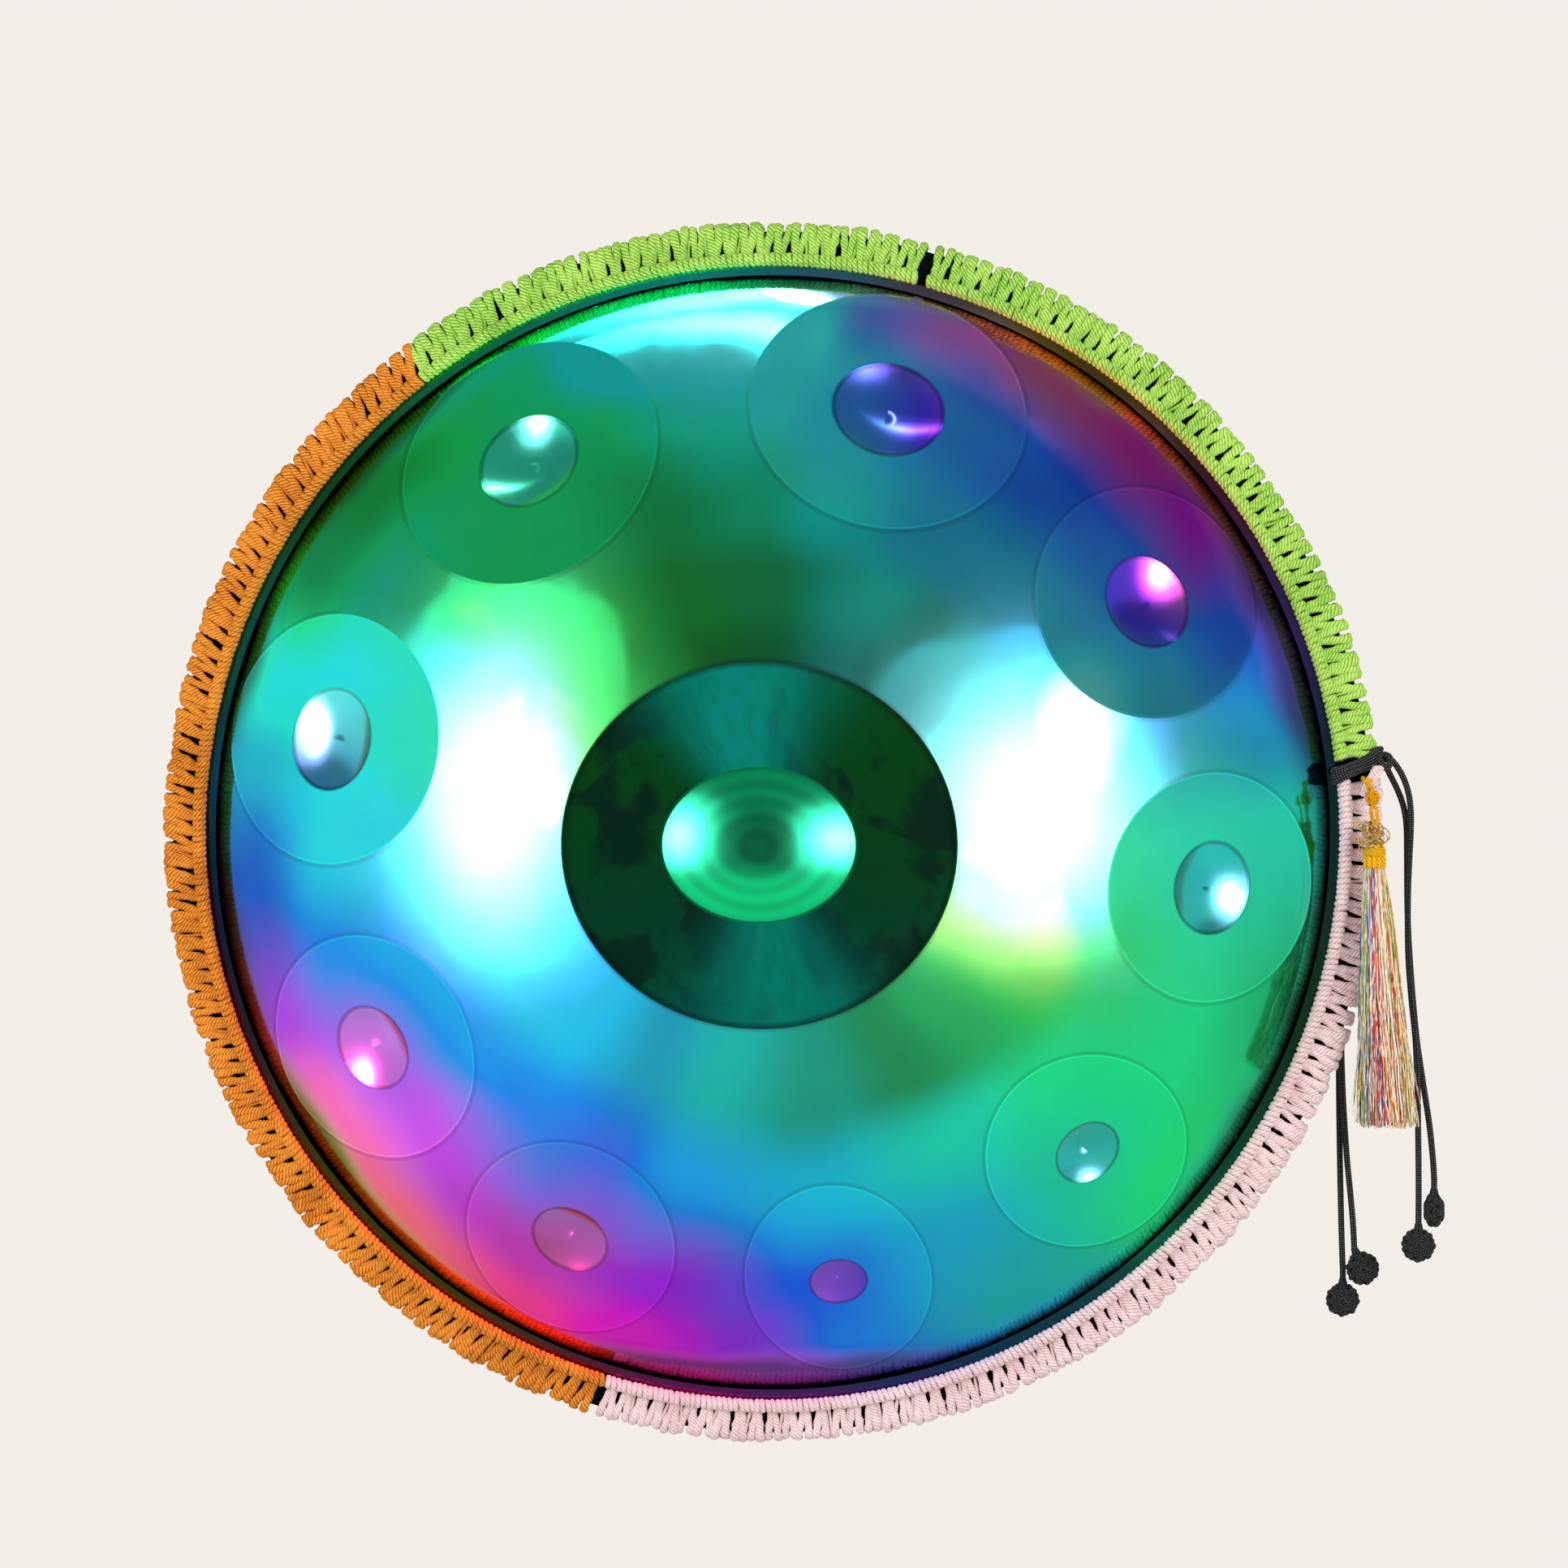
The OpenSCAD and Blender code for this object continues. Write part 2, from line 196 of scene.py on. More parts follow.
class Tree:
    """Short hand for a material's or the world's nodes."""

    def __init__(self, owner):
        owner.use_nodes = True
        self.tree = owner.node_tree
        self.tree.nodes.clear()

    def add(self, kind, values=None, **settings):
        node = self.tree.nodes.new("ShaderNode" + kind)
        for key, value in settings.items():
            setattr(node, key, value)
        for key, value in (values or {}).items():
            self.put(node, key, value)
        return node

    def put(self, node, key, value):
        socket = node.inputs[key]
        if isinstance(value, bpy.types.NodeSocket):
            self.tree.links.new(value, socket)
        elif isinstance(value, bpy.types.Node):
            self.tree.links.new(value.outputs[0], socket)
        else:
            socket.default_value = value

    def place(self):
        """The point being shaded, in the object's own metres."""
        return self.add("TexCoord").outputs["Object"]

    def math(self, operation, *values):
        return self.add("Math", dict(enumerate(values)), operation=operation).outputs[0]

    def times(self, *values):
        return reduce(lambda a, b: self.math("MULTIPLY", a, b), values)

    def plus(self, *values):
        return reduce(lambda a, b: self.math("ADD", a, b), values)

    def change(self, mask, by, start=1.0):
        """start, changed by the given amount where the mask is 1."""
        return self.math("MULTIPLY_ADD", mask, by, start)

    def vector(self, operation, *values, scale=None):
        node = self.add("VectorMath", dict(enumerate(values)), operation=operation)
        if scale is not None:
            self.put(node, "Scale", scale)
        return node.outputs["Value" if operation in ("DOT_PRODUCT", "LENGTH") else "Vector"]

    def join(self, x=0.0, y=0.0, z=0.0):
        return self.add("CombineXYZ", {"X": x, "Y": y, "Z": z}).outputs[0]

    def split(self, vector):
        return list(self.add("SeparateXYZ", {"Vector": vector}).outputs)

    def span(self, value, low, high, to_low=0.0, to_high=1.0, kind="SMOOTHSTEP"):
        """The value's way from low to high, as a way from to_low to to_high, and level outside."""
        keys = ("Value", "From Min", "From Max", "To Min", "To Max")
        limits = dict(zip(keys, (value, low, high, to_low, to_high)))
        return self.add("MapRange", limits, interpolation_type=kind).outputs[0]

    def near(self, value, centre, close, far):
        """1 where the value is within close of the centre, and 0 beyond far."""
        return self.span(self.math("ABSOLUTE", self.math("SUBTRACT", value, centre)), close, far, 1.0, 0.0)

    def blend(self, factor, a, b):
        return self.add("Mix", {0: factor, 2: a, 3: b}, data_type="FLOAT").outputs[0]

    def mix(self, factor, a, b, blend="MIX"):
        return self.add("Mix", {0: factor, 6: a, 7: b}, data_type="RGBA", blend_type=blend).outputs[2]

    def ramp(self, value, stops):
        node = self.add("ValToRGB", {"Fac": value})
        node.color_ramp.interpolation = "EASE"
        marks = node.color_ramp.elements
        while len(marks) < len(stops):
            marks.new(0.5)
        for mark, (place, colour) in zip(marks, sorted(stops)):
            mark.position = place
            mark.color = colour
        return node.outputs[0]

    def noise(self, vector, scale, detail=3.0, rough=0.5, distortion=0.0, output=0):
        values = {"Vector": vector, "Scale": scale, "Detail": detail, "Roughness": rough, "Distortion": distortion}
        return self.add("TexNoise", values).outputs[output]

    def bump(self, height, distance, strength, under=None):
        values = {"Height": height, "Distance": distance, "Strength": strength}
        if under is not None:
            values["Normal"] = under
        return self.add("Bump", values).outputs[0]

    def output(self, shader, kind="OutputMaterial"):
        self.add(kind, {"Surface": shader})

    def surface(self, values):
        """A Principled surface, as the material's output."""
        self.output(self.add("BsdfPrincipled", values))


def material(name):
    m = bpy.data.materials.new(name)
    return m, Tree(m)


def yarn(name, light, dark, ply=1900.0):
    """Spun cotton: ply ridges along each strand, matted fibres, and colour that drifts along the work.
    ply is how fast the ridges turn, in radians a metre."""
    m, t = material(name)
    along, around, _ = t.split(t.add("UVMap", uv_map="along"))
    place = t.place()
    ridge = t.math("ABSOLUTE", t.math("SINE", t.plus(t.times(along, ply), t.times(around, 4 * math.pi))))
    fibre = t.noise(place, 1900.0, 3.0, 0.75, 0.6)
    clump = t.noise(place, 900.0, 2.0, 0.6, 0.8)
    drift = t.math("SUBTRACT", t.noise(place, 45.0, 3.0, 0.6), 0.5)
    blot = t.math("SUBTRACT", t.noise(place, 420.0, 2.0, 0.55), 0.5)
    weights = ((ridge, 0.42), (fibre, 0.7), (clump, 0.2), (drift, 0.7), (blot, 0.35))
    shade = t.plus(*[t.times(part, weight) for part, weight in weights])
    height = t.plus(t.times(ridge, 0.9), t.times(fibre, 0.8), t.times(clump, 0.6))
    t.surface({
        "Base Color": t.mix(t.span(shade, 0.45, 0.9), dark, light), "Roughness": 0.9, "Specular IOR Level": 0.0,
        "Sheen Weight": 0.2, "Sheen Roughness": 0.5, "Sheen Tint": light, "Normal": t.bump(height, 0.0004, 0.9)})
    return m


# -------------------------------------------- camera
def direction(azimuth, elevation):
    """A direction from the drum, azimuth 0 in front of it, with the two directions square to it."""
    a, e = math.radians(azimuth), math.radians(elevation)
    way = Vector((math.sin(a) * math.cos(e), -math.cos(a) * math.cos(e), math.sin(e)))
    side = Vector((math.cos(a), math.sin(a), 0))
    return way, side, way.cross(side)


def aimed(data, azimuth, elevation, distance):
    """A camera or a lamp that looks at the drum from this direction and distance."""
    obj = bpy.data.objects.new(data.name, data)
    scene.collection.objects.link(obj)
    way = direction(azimuth, elevation)[0]
    obj.location = RIM + way * distance
    obj.rotation_mode = "QUATERNION"
    obj.rotation_quaternion = (-way).to_track_quat("-Z", "Y")
    return obj


CAMERA_AZIMUTH = 2.7
CAMERA_ELEVATION = 2.5
CAMERA_DISTANCE = 1.745
CAMERA_LENS = 85.1
CAMERA_SHIFT = (0.0095, 0.0331)
camera = aimed(bpy.data.cameras.new("camera"), CAMERA_AZIMUTH, CAMERA_ELEVATION, CAMERA_DISTANCE)
camera.data.lens = CAMERA_LENS
camera.data.sensor_width = 36
camera.data.shift_x, camera.data.shift_y = CAMERA_SHIFT
scene.camera = camera

# -------------------------------------------- black cords and their knots
CORD_R = 1.45 * MM
# a knot's half width, its thickness, and how far below its cord a leaning one is centred
KNOT_R = 8 * MM
KNOT_T = 9 * MM
KNOT_DROP = 10.3 * MM
# each cord's run in mm, from where it leaves the cover to its knot
ROUTES = {
    "front_cord_outer": [
        (288, -95, 38), (291, -95.5, 35.5), (294, -95.5, 31.5), (296.5, -95.5, 26.5), (298.5, -95.5, 20),
        (299.5, -95.5, 12), (299.5, -95.5, 2), (299, -95.5, -10), (298.5, -95.5, -25), (298.5, -95.5, -42),
        (299, -95.5, -58), (300.5, -95.5, -76), (302.5, -95.5, -95), (303.5, -95.5, -115),
        (304, -95.5, -136), (304.4, -95.5, -158), (304.5, -95.5, -174), (304.5, -95.5, -181),
    ],
    "front_cord_inner": [
        (288.5, -92.5, 32.5), (290.5, -92.5, 28.5), (293, -92.5, 23.5), (295.3, -92.5, 18), (297, -92.5, 12),
        (298, -92.5, 4), (298.3, -92.5, -10), (298.5, -92.5, -26), (299, -92.5, -42), (300, -92.5, -58),
        (301.5, -92.5, -76), (303.5, -92.5, -95), (306.5, -92.5, -115), (309.5, -92.5, -134),
        (311.3, -92.5, -150), (312, -92.5, -160), (312, -92.5, -165),
    ],
    "back_cord_long": [
        (269.2, -81.2, 36), (269.2, -78, 35.4), (269.2, -75.2, 33.6), (269.2, -73, 31), (269.2, -72, 27.5),
        (269.2, -71.8, 20), (269.2, -71.8, 0), (269.2, -71.8, -30), (269.2, -71.8, -60), (269.3, -71.8, -90),
        (269.6, -71.8, -120), (270.2, -71.8, -150), (271, -71.8, -180), (271.7, -71.8, -200),
        (272, -71.8, -207), (272, -71.8, -211),
    ],
    "back_cord_short": [
        (270.6, -81.2, 31.6), (270.6, -79, 31.3), (270.6, -76.9, 30.1), (270.6, -75.5, 28),
        (270.5, -75.1, 25), (270.3, -75, 16), (270, -75, 0), (269.7, -75, -30), (269.6, -75, -60),
        (270, -75, -90), (271, -75, -120), (273, -75, -150), (275, -75, -170), (276.3, -75, -184),
        (277, -75, -196),
    ],
}
# the knot on each cord: its CAD node, its body, and the way that it faces
KNOTS = {
    "front_cord_outer": ("front_knot_outer", "front_cords", (0.0, -1.0, 0.1)),
    "front_cord_inner": ("front_knot_inner", "front_cords", (1.0, -0.1, 0.0)),
    "back_cord_long": ("back_knot_long", "back_cords", (0.0, -1.0, 0.0)),
    "back_cord_short": ("back_knot_short", "back_cords", (0.1, -1.0, 0.0)),
}


def black_cord(name, light, dark, checks=0.5):
    """Braided polyester cord: waxy, with small diagonal stitches. checks is how strongly they show."""
    m, t = material(name)
    along, around, _ = t.split(t.add("UVMap", uv_map="along"))
    around, along = t.times(around, 8 * math.pi), t.times(along, 2900.0)
    stitch = t.times(*[t.math("SINE", t.math(way, around, along)) for way in ("ADD", "SUBTRACT")])
    fibre = t.noise(t.place(), 3000.0, 2.0, 0.6)
    shade = t.plus(t.times(stitch, checks), fibre)
    height = t.plus(t.times(stitch, 0.5), t.times(fibre, 0.5))
    t.surface({
        "Base Color": t.mix(t.span(shade, 0.35, 1.0), dark, light), "Roughness": 0.55, "Specular IOR Level": 0.0,
        "Sheen Weight": 0.1, "Normal": t.bump(height, 0.00015, 0.8)})
    return m


BLACK_CORD = black_cord("black_cord", linear(94, 96, 94), linear(8, 9, 9))
KNOT_CORD = black_cord("black_knot_cord", linear(92, 94, 92), linear(18, 19, 19), checks=0.2)


def diamond_braid(angle, along):
    """Radius of a round braid: bumps in a diamond grid."""
    return 0.07 * np.sin(4 * angle + 2200 * along) * np.sin(4 * angle - 2200 * along)


def turks_head(centre, axis, up, wide, thick, strand, leads=5, bights=8):
    """Centreline of a Turk's head knot drawn on a flattened ball, its strands passing over and under."""
    axis = unit(axis)
    side = unit(np.cross(up, axis))
    top = np.cross(axis, side)
    crossings = [n / (2 * leads * bights) for n in range(2 * leads * bights) if n % leads]
    t = np.linspace(0, 1, 84 * leads, endpoint=False)
    phase = np.interp(t, crossings + [1 + crossings[0]], np.arange(len(crossings) + 1) * math.pi)
    wave = np.cos(phase)
    latitude = math.radians(76) * np.cos(2 * math.pi * bights * t)
    longitude = 2 * math.pi * leads * t
    grow = 1 + 0.55 * strand / wide * wave
    flat = wide * np.cos(latitude) * grow
    return (
        np.asarray(centre)
        + (flat * np.cos(longitude))[:, None] * side
        + (flat * np.sin(longitude))[:, None] * top
        + ((thick * np.sin(latitude)) * grow)[:, None] * axis
    )


def ball_core(work, centre, axis, wide, thick):
    """A flattened ball that fills a knot, as a stack of rings."""
    axis = unit(axis)
    a = np.linspace(-math.pi / 2 + 0.12, math.pi / 2 - 0.12, 11)
    path = np.asarray(centre) + (np.sin(a) * thick)[:, None] * axis
    work.tube(path, np.cos(a) * wide, np.cos(a) * wide, sides=18)


for name, route in ROUTES.items():
    knot_node, body, facing = KNOTS[name]
    path = smooth_path(np.array(route) * MM, 0.5 * MM)
    low, high = (np.array(p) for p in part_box(knot_node))
    end = path[-1]
    # the knot's collar takes up its first 3 mm, so its ball is centred in what is left below
    centre = (low + high) / 2
    centre[2] = low[2] + KNOT_R
    if name == "back_cord_short":
        centre = end + unit(np.array([4.0, 0, -9.5])) * KNOT_DROP
    up = unit(end - centre)
    work = Builder()
    strand = CORD_R * 0.98
    ball_core(work, centre, facing, KNOT_R - 1.6 * strand, KNOT_T / 2 - 1.1 * strand)
    ring = turks_head(centre, facing, up, KNOT_R - strand * 1.1, KNOT_T / 2 - strand * 0.75, strand)
    work.tube(ring, strand * 0.98, strand * 0.82, sides=10, closed=True, weave=diamond_braid)
    # the collar widens from the cord to the knot
    collar = np.linspace(end + up * 0.3 * MM, centre + up * (KNOT_R - 2 * MM), 6)
    work.tube(collar, np.linspace(1.6, 2.6, 6) * MM, np.linspace(1.6, 2.3, 6) * MM, sides=14)
    knot = work.build(knot_node + "_woven", [KNOT_CORD])
    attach(knot, body)
    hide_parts(knot_node)

    work = Builder()
    work.tube(path, CORD_R, CORD_R, sides=16, weave=diamond_braid)
    cord = work.build(name + "_braided", [BLACK_CORD])
    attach(cord, body)
    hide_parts(name)

# -------------------------------------------- braided rim cover
rng = random.Random(11)
GREEN = yarn("green_yarn", linear(198, 238, 116), linear(112, 174, 54))
ORANGE = yarn("orange_yarn", linear(246, 158, 62), linear(174, 96, 30))
PINK = yarn("pink_yarn", linear(254, 232, 232), linear(230, 190, 194))
PITCH = 7.6 * MM
WRAPS = 3
# half the gap between the two strands of a pair: at the rows, and how much more at the edge
PAIR_GAP, PAIR_SPREAD = 0.6 * MM, 1.95 * MM
CROSSING_SHARE = 0.4
SECTIONS = {
    # name: (start and end in degrees, yarn, lean of the edge strands, in mm clockwise)
    "green_right": (7.7, 74.1, GREEN, 1.0),
    "green_left": (75.1, 127.1, GREEN, 1.2),
    "orange": (127.3, 253.2, ORANGE, 4.2),
    "pink": (253.4, 365.7, PINK, 1.2),
}


def edge_section():
    """The run of an edge strand, from the front row over the edge to the back row: its radius and
    height, and how far out it is, from 0 at the rows to 1 at the edge."""
    front = [
        (ROW_C + 1.0 * MM, ROW_H + 0.4 * MM),
        (ROW_C + 3.6 * MM, ROW_H - 1.0 * MM),
        (TRIM_R - 6.2 * MM, LIP_H + 1.9 * MM),
        (TRIM_R - 3.4 * MM, LIP_H + 1.75 * MM),
        (TRIM_R - 0.7 * MM, LIP_H + 1.9 * MM),
        (TRIM_R + 1.7 * MM, LIP_H + 1.1 * MM),
        (TRIM_R + 3.1 * MM, LIP_H - 1.0 * MM),
        (TRIM_R + 3.4 * MM, 0.0),
    ]
    path = smooth_path(front + [(r, -h) for r, h in front[-2::-1]], 1.15 * MM)
    reach = np.clip((path[:, 0] - path[0, 0]) / (14 * MM), 0, 1)
    return path, reach


EDGE_PATH, EDGE_REACH = edge_section()
EDGE_OUT = unit(np.column_stack([np.gradient(-EDGE_PATH[:, 1]), np.gradient(EDGE_PATH[:, 0])]))
if EDGE_OUT[len(EDGE_OUT) // 2, 0] < 0:
    EDGE_OUT = -EDGE_OUT
# one turn round a row, as angles
WRAP_SIDES = 14
RING_TURN = np.arange(WRAP_SIDES) * 2 * math.pi / WRAP_SIDES


def row_wrap(work, angle, side, half_width, lean, lift):
    """One wrap of yarn round the core cord of a row."""
    rho = (ROW_R - 1.02 * MM) * lift
    r = ROW_C + rho * np.cos(RING_TURN)
    h = side * (ROW_H + rho * np.sin(RING_TURN))
    a = angle + lean * np.sin(RING_TURN + 0.8) / ROW_C
    p = at_rim(a, r, h)
    out = at_rim(a, r + rho * np.cos(RING_TURN), h + side * rho * np.sin(RING_TURN)) - p
    work.tube(p, half_width, 1.05 * MM, sides=8, normal=out, closed=True, lobes=4, lobe=0.05, turn=700, rough=0.05)


def edge_strand(work, angle, which, lean, half_width, lift):
    """One strand over the rim's edge. Pairs meet at the rows and spread at the edge."""
    offset = which * (PAIR_GAP + PAIR_SPREAD * EDGE_REACH) - lean * EDGE_REACH
    r = EDGE_PATH[:, 0] + lift * EDGE_REACH * EDGE_OUT[:, 0]
    h = EDGE_PATH[:, 1] + lift * EDGE_REACH * EDGE_OUT[:, 1]
    a = angle + offset / TRIM_R
    p = at_rim(a, r, h)
    out = at_rim(a, r + EDGE_OUT[:, 0] * MM, h + EDGE_OUT[:, 1] * MM) - p
    lumps = 1 + 0.11 * np.sin(np.arange(len(p)) * 1.3 + angle * 900 + which)
    width = half_width * (0.82 + 0.18 * EDGE_REACH) * lumps
    work.tube(p, width, 1.42 * MM * lumps, sides=9, normal=out, lobes=3, lobe=0.08, turn=1100 * which, rough=0.07)


for name, (start, end, wool, lean) in SECTIONS.items():
    front, back, edge = Builder(), Builder(), Builder()
    span = math.radians(end - start)
    repeats = round(span * ROW_C / PITCH)
    step = span / repeats
    drift = 0.0
    for i in range(repeats):
        angle = math.radians(start) + step * (i + 0.5)
        drift = 0.8 * drift + rng.uniform(-0.35, 0.35)
        tilt = (lean + drift) * MM
        for side, work in ((1, front), (-1, back)):
            for k in range(WRAPS):
                place = angle + step * ((k + 0.5) / WRAPS - 0.5) + rng.uniform(-0.12, 0.12) * MM / ROW_C
                half = step * ROW_C / WRAPS / 2 * rng.uniform(1.0, 1.14)
                row_wrap(work, place, side, half, rng.uniform(0.2, 0.9) * MM, rng.uniform(0.97, 1.06))
        bulge = rng.uniform(-0.7, 0.7) * MM
        for which in (-1, 1):
            edge_strand(edge, angle + rng.uniform(-0.4, 0.4) * MM / TRIM_R, which,
                        tilt + rng.uniform(-1.0, 1.0) * MM, rng.uniform(1.8, 2.4) * MM,
                        bulge + rng.uniform(-0.5, 0.5) * MM)
        if i < repeats - 1 and rng.random() < CROSSING_SHARE:
            # a strand that crosses the gap to the next pair, lower down
            cross = rng.choice((-1, 1)) * rng.uniform(1.0, 3.0) * MM
            edge_strand(edge, angle + step / 2 + cross / 2 / TRIM_R, 0, tilt + cross,
                        rng.uniform(0.75, 1.0) * MM, bulge - rng.uniform(0.6, 1.0) * MM)
    for work, part in ((front, "front_wraps"), (back, "back_wraps"), (edge, "edge_strands")):
        obj = work.build(f"{name}_{part}", [wool])
        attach(obj, "handpan")
        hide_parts(f"{name}_hitches")
        name.split("_")[0] + "_yarn"
    for part, side in (("front_core", 1), ("back_core", -1)):
        # the core cord under the wraps, laid from three plies
        work = Builder()
        turn = np.linspace(math.radians(start), math.radians(end), int(span * ROW_C / (1.2 * MM)))
        work.tube(at_rim(turn, ROW_C, side * ROW_H), 1.25 * MM, 1.25 * MM, sides=9, lobes=3, lobe=0.12, turn=900)
        obj = work.build(f"{name}_{part}_cord", [wool])
        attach(obj, "handpan")
        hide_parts(f"{name}_{part}")
        name.split("_")[0] + "_yarn"

# -------------------------------------------- black lashing between green and pink
work = Builder()
# the front half of a turn round the cover, from inside the row to the rim's edge: radius and height
LASH = [
    (ROW_C - 2.6 * MM, LIP_H + 0.9 * MM),
    (ROW_C - 4.3 * MM, ROW_H - 0.8 * MM),
    (ROW_C - 3.2 * MM, ROW_H + 3.4 * MM),
    (ROW_C + 0.4 * MM, ROW_H + 4.5 * MM),
    (ROW_C + 4.6 * MM, ROW_H + 3.0 * MM),
    (TRIM_R - 1.0 * MM, ROW_H + 0.9 * MM),
    (TRIM_R + 3.1 * MM, ROW_H - 0.6 * MM),
    (TRIM_R + 5.7 * MM, 2.6 * MM),
    (TRIM_R + 6.0 * MM, 0),
]
lash_profile = smooth_path(LASH + [(r, -h) for r, h in LASH[-2::-1]], 1.0 * MM)
lash_reach = np.clip((lash_profile[:, 0] - lash_profile[:, 0].min()) / (22 * MM), 0, 1)
for k, (angle, sink) in enumerate(((5.62, 0.0), (6.12, 0.5), (6.62, -0.1), (5.95, 1.6))):
    a = np.radians(angle + 1.5 * lash_reach) + (0.002 * np.sin(lash_reach * 5 + k))
    p = at_rim(a, lash_profile[:, 0] - sink * MM * lash_reach, lash_profile[:, 1] * (1 - 0.06 * sink))
    work.tube(p, CORD_R, CORD_R, sides=14, weave=diamond_braid)
# the hitch that the hanging cords leave from, at the rim's edge
hitch = np.array(ROUTES["front_cord_outer"][0]) * MM
for tilt, grow in ((0.2, 1.0), (-0.5, 0.85)):
    turn = np.linspace(0, 2 * math.pi, 26, endpoint=False)
    loop = hitch + MM * np.column_stack([
        3.1 * grow * np.cos(turn) - 1.2,
        3.4 * math.cos(tilt) * np.sin(turn) - 1.5,
        3.0 * grow * np.sin(turn + tilt) - 2.4,
    ])
    work.tube(loop, CORD_R, CORD_R, sides=12, closed=True, weave=diamond_braid)
lashing = work.build("lashing_turns", [BLACK_CORD])
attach(lashing, "handpan")
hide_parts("lashing")

# the cut end of the pink yarn that stands beside the lashing
work = Builder()
stub = [(277.5, -102.2, 20), (279.5, -102.8, 25), (281.8, -103.2, 29.5), (283.2, -103.4, 33)]
stub = smooth_path(np.array(stub) * MM, MM)
for k in range(3):
    turn = 2 * math.pi * k / 3 + np.linspace(0, 2.2, len(stub))
    work.tube(stub + 1.35 * MM * np.column_stack([np.cos(turn), np.sin(turn), 0 * turn]), 1.6 * MM, 1.6 * MM,
              sides=9, lobes=3, lobe=0.1, turn=1000)
stub = work.build("pink_yarn_end", [PINK])
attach(stub, "handpan")

# -------------------------------------------- tassel
YELLOW = yarn("yellow_yarn", linear(255, 196, 42), linear(214, 128, 10), ply=1600.0)
head_low, head_high = (np.array(p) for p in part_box("tassel_wire"))
cap_low, cap_high = (np.array(p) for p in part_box("tassel_cap"))
skirt_low, skirt_high = (np.array(p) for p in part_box("tassel_skirt"))
TASSEL_Y = (head_low[1] + head_high[1]) / 2
TIE = np.array([278 * MM, TASSEL_Y, 26.5 * MM])
YARN_KNOT = np.array([280.5 * MM, TASSEL_Y, 19 * MM])
PIVOT = np.array([281.5 * MM, TASSEL_Y, 8 * MM])
HEAD = (head_low + head_high) / 2
YARN_R = 0.85 * MM
# how many curls of wire, strands of the cap, threads of the skirt, and threads that hang clear of it
CURLS, STRANDS, THREAD_COUNT, STRAYS = 34, 11, 430, 9

work = Builder()
# a loop of yellow yarn through the braid, with its little knot outside
loop = [
    (0, 11, 1.5), (-1.6, 6, 1.4), (-1.2, 1.8, 0.6), (0, -0.4, 0.3), (1.3, 1.8, 0.2), (1.5, 6, 0.4), (0.2, 11, 0.6),
]
loop = smooth_path(TIE + np.array(loop) * MM, 0.6 * MM)
work.tube(loop, YARN_R, YARN_R, sides=9, lobes=3, lobe=0.12, turn=1500)
ball_core(work, TIE, (0, 1, 0.2), 1.5 * MM, 1.5 * MM)
obj = work.build("tassel_tie_loop", [YELLOW])
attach(obj, "handpan")
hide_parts("tassel_tie")

work = Builder()
for side in (-1, 1):
    # one of the cord's two strands, as places and how far it passes to the side of them, in mm
    drop = [
        (TIE, (side * 0.5, -side * 0.4, -0.4)),
        ((TIE + YARN_KNOT) / 2, (-side * 0.9, side * 0.7, 0)),
        (YARN_KNOT, (side * 0.8, 0, 1.5)),
        (YARN_KNOT, (-side * 0.8, 0, -2)),
        ((YARN_KNOT + PIVOT) / 2, (side * 1.25, side * 0.3, 0)),
        (PIVOT, (side * 0.9, -side * 0.5, 0.5)),
        (PIVOT, (side * 0.2, 0, -1.6)),
    ]
    drop = smooth_path([spot + np.array(past) * MM for spot, past in drop], 0.6 * MM)
    work.tube(drop, YARN_R, YARN_R, sides=9, lobes=3, lobe=0.12, turn=1500)
ball_core(work, YARN_KNOT, (0.3, 0, 1), 2.1 * MM, 2.2 * MM)
ring = turks_head(YARN_KNOT, (0.25, 0.1, 1), (0, 1, 0), 2.35 * MM, 2.5 * MM, YARN_R, leads=3, bights=4)
work.tube(ring, YARN_R * 0.95, YARN_R * 0.85, sides=9, closed=True, lobes=3, lobe=0.1, turn=1500)
obj = work.build("tassel_cord_twist", [YELLOW])
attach(obj, "tassel_hanger")
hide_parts("tassel_cord")

# gold wire, wound into curls
gold, t = material("gold_wire")
scratch = t.noise(t.place(), 900.0, 3.0)
t.surface({
    "Base Color": t.mix(t.span(scratch, 0.3, 0.7), linear(120, 90, 40), linear(226, 196, 122)),
    "Roughness": t.span(scratch, 0.2, 0.8, 0.3, 0.5), "Specular IOR Level": 0.12, "Sheen Weight": 0.15,
    "Normal": t.bump(scratch, 0.00008, 0.6)})
work = Builder()
for k in range(CURLS):
    # each curl is a little more than a turn, tipped its own way, kept inside the ball that they make
    size = rng.uniform(2.0, 4.6) * MM
    middle = HEAD + np.array([rng.uniform(-5.2, 3.6), rng.uniform(-3.4, 1.2), rng.uniform(-4.4, 4.6)]) * MM
    axis = unit(np.array([rng.uniform(-1, 1), rng.uniform(-1.6, -0.2), rng.uniform(-1, 1)]))
    one = unit(np.cross(axis, (0.3, 0.2, 1)))
    two = np.cross(axis, one)
    turn = np.linspace(0, rng.uniform(4.5, 7.4), 26)
    radius = size * (1 - 0.045 * turn)
    curl = (
        middle
        + (radius * np.cos(turn))[:, None] * one
        + (radius * np.sin(turn) * rng.uniform(0.7, 1.0))[:, None] * two
        + (turn * 0.25 * MM)[:, None] * axis
    )
    work.tube(curl, 0.33 * MM, 0.33 * MM, sides=7)
obj = work.build("tassel_wire_curls", [gold])
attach(obj, "tassel_head")
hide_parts("tassel_wire")

# yellow cap: yarn laid down over the head of the skirt and bound at its top
work = Builder()
cap_mid = np.array([(cap_low[0] + cap_high[0]) / 2, TASSEL_Y, 0])
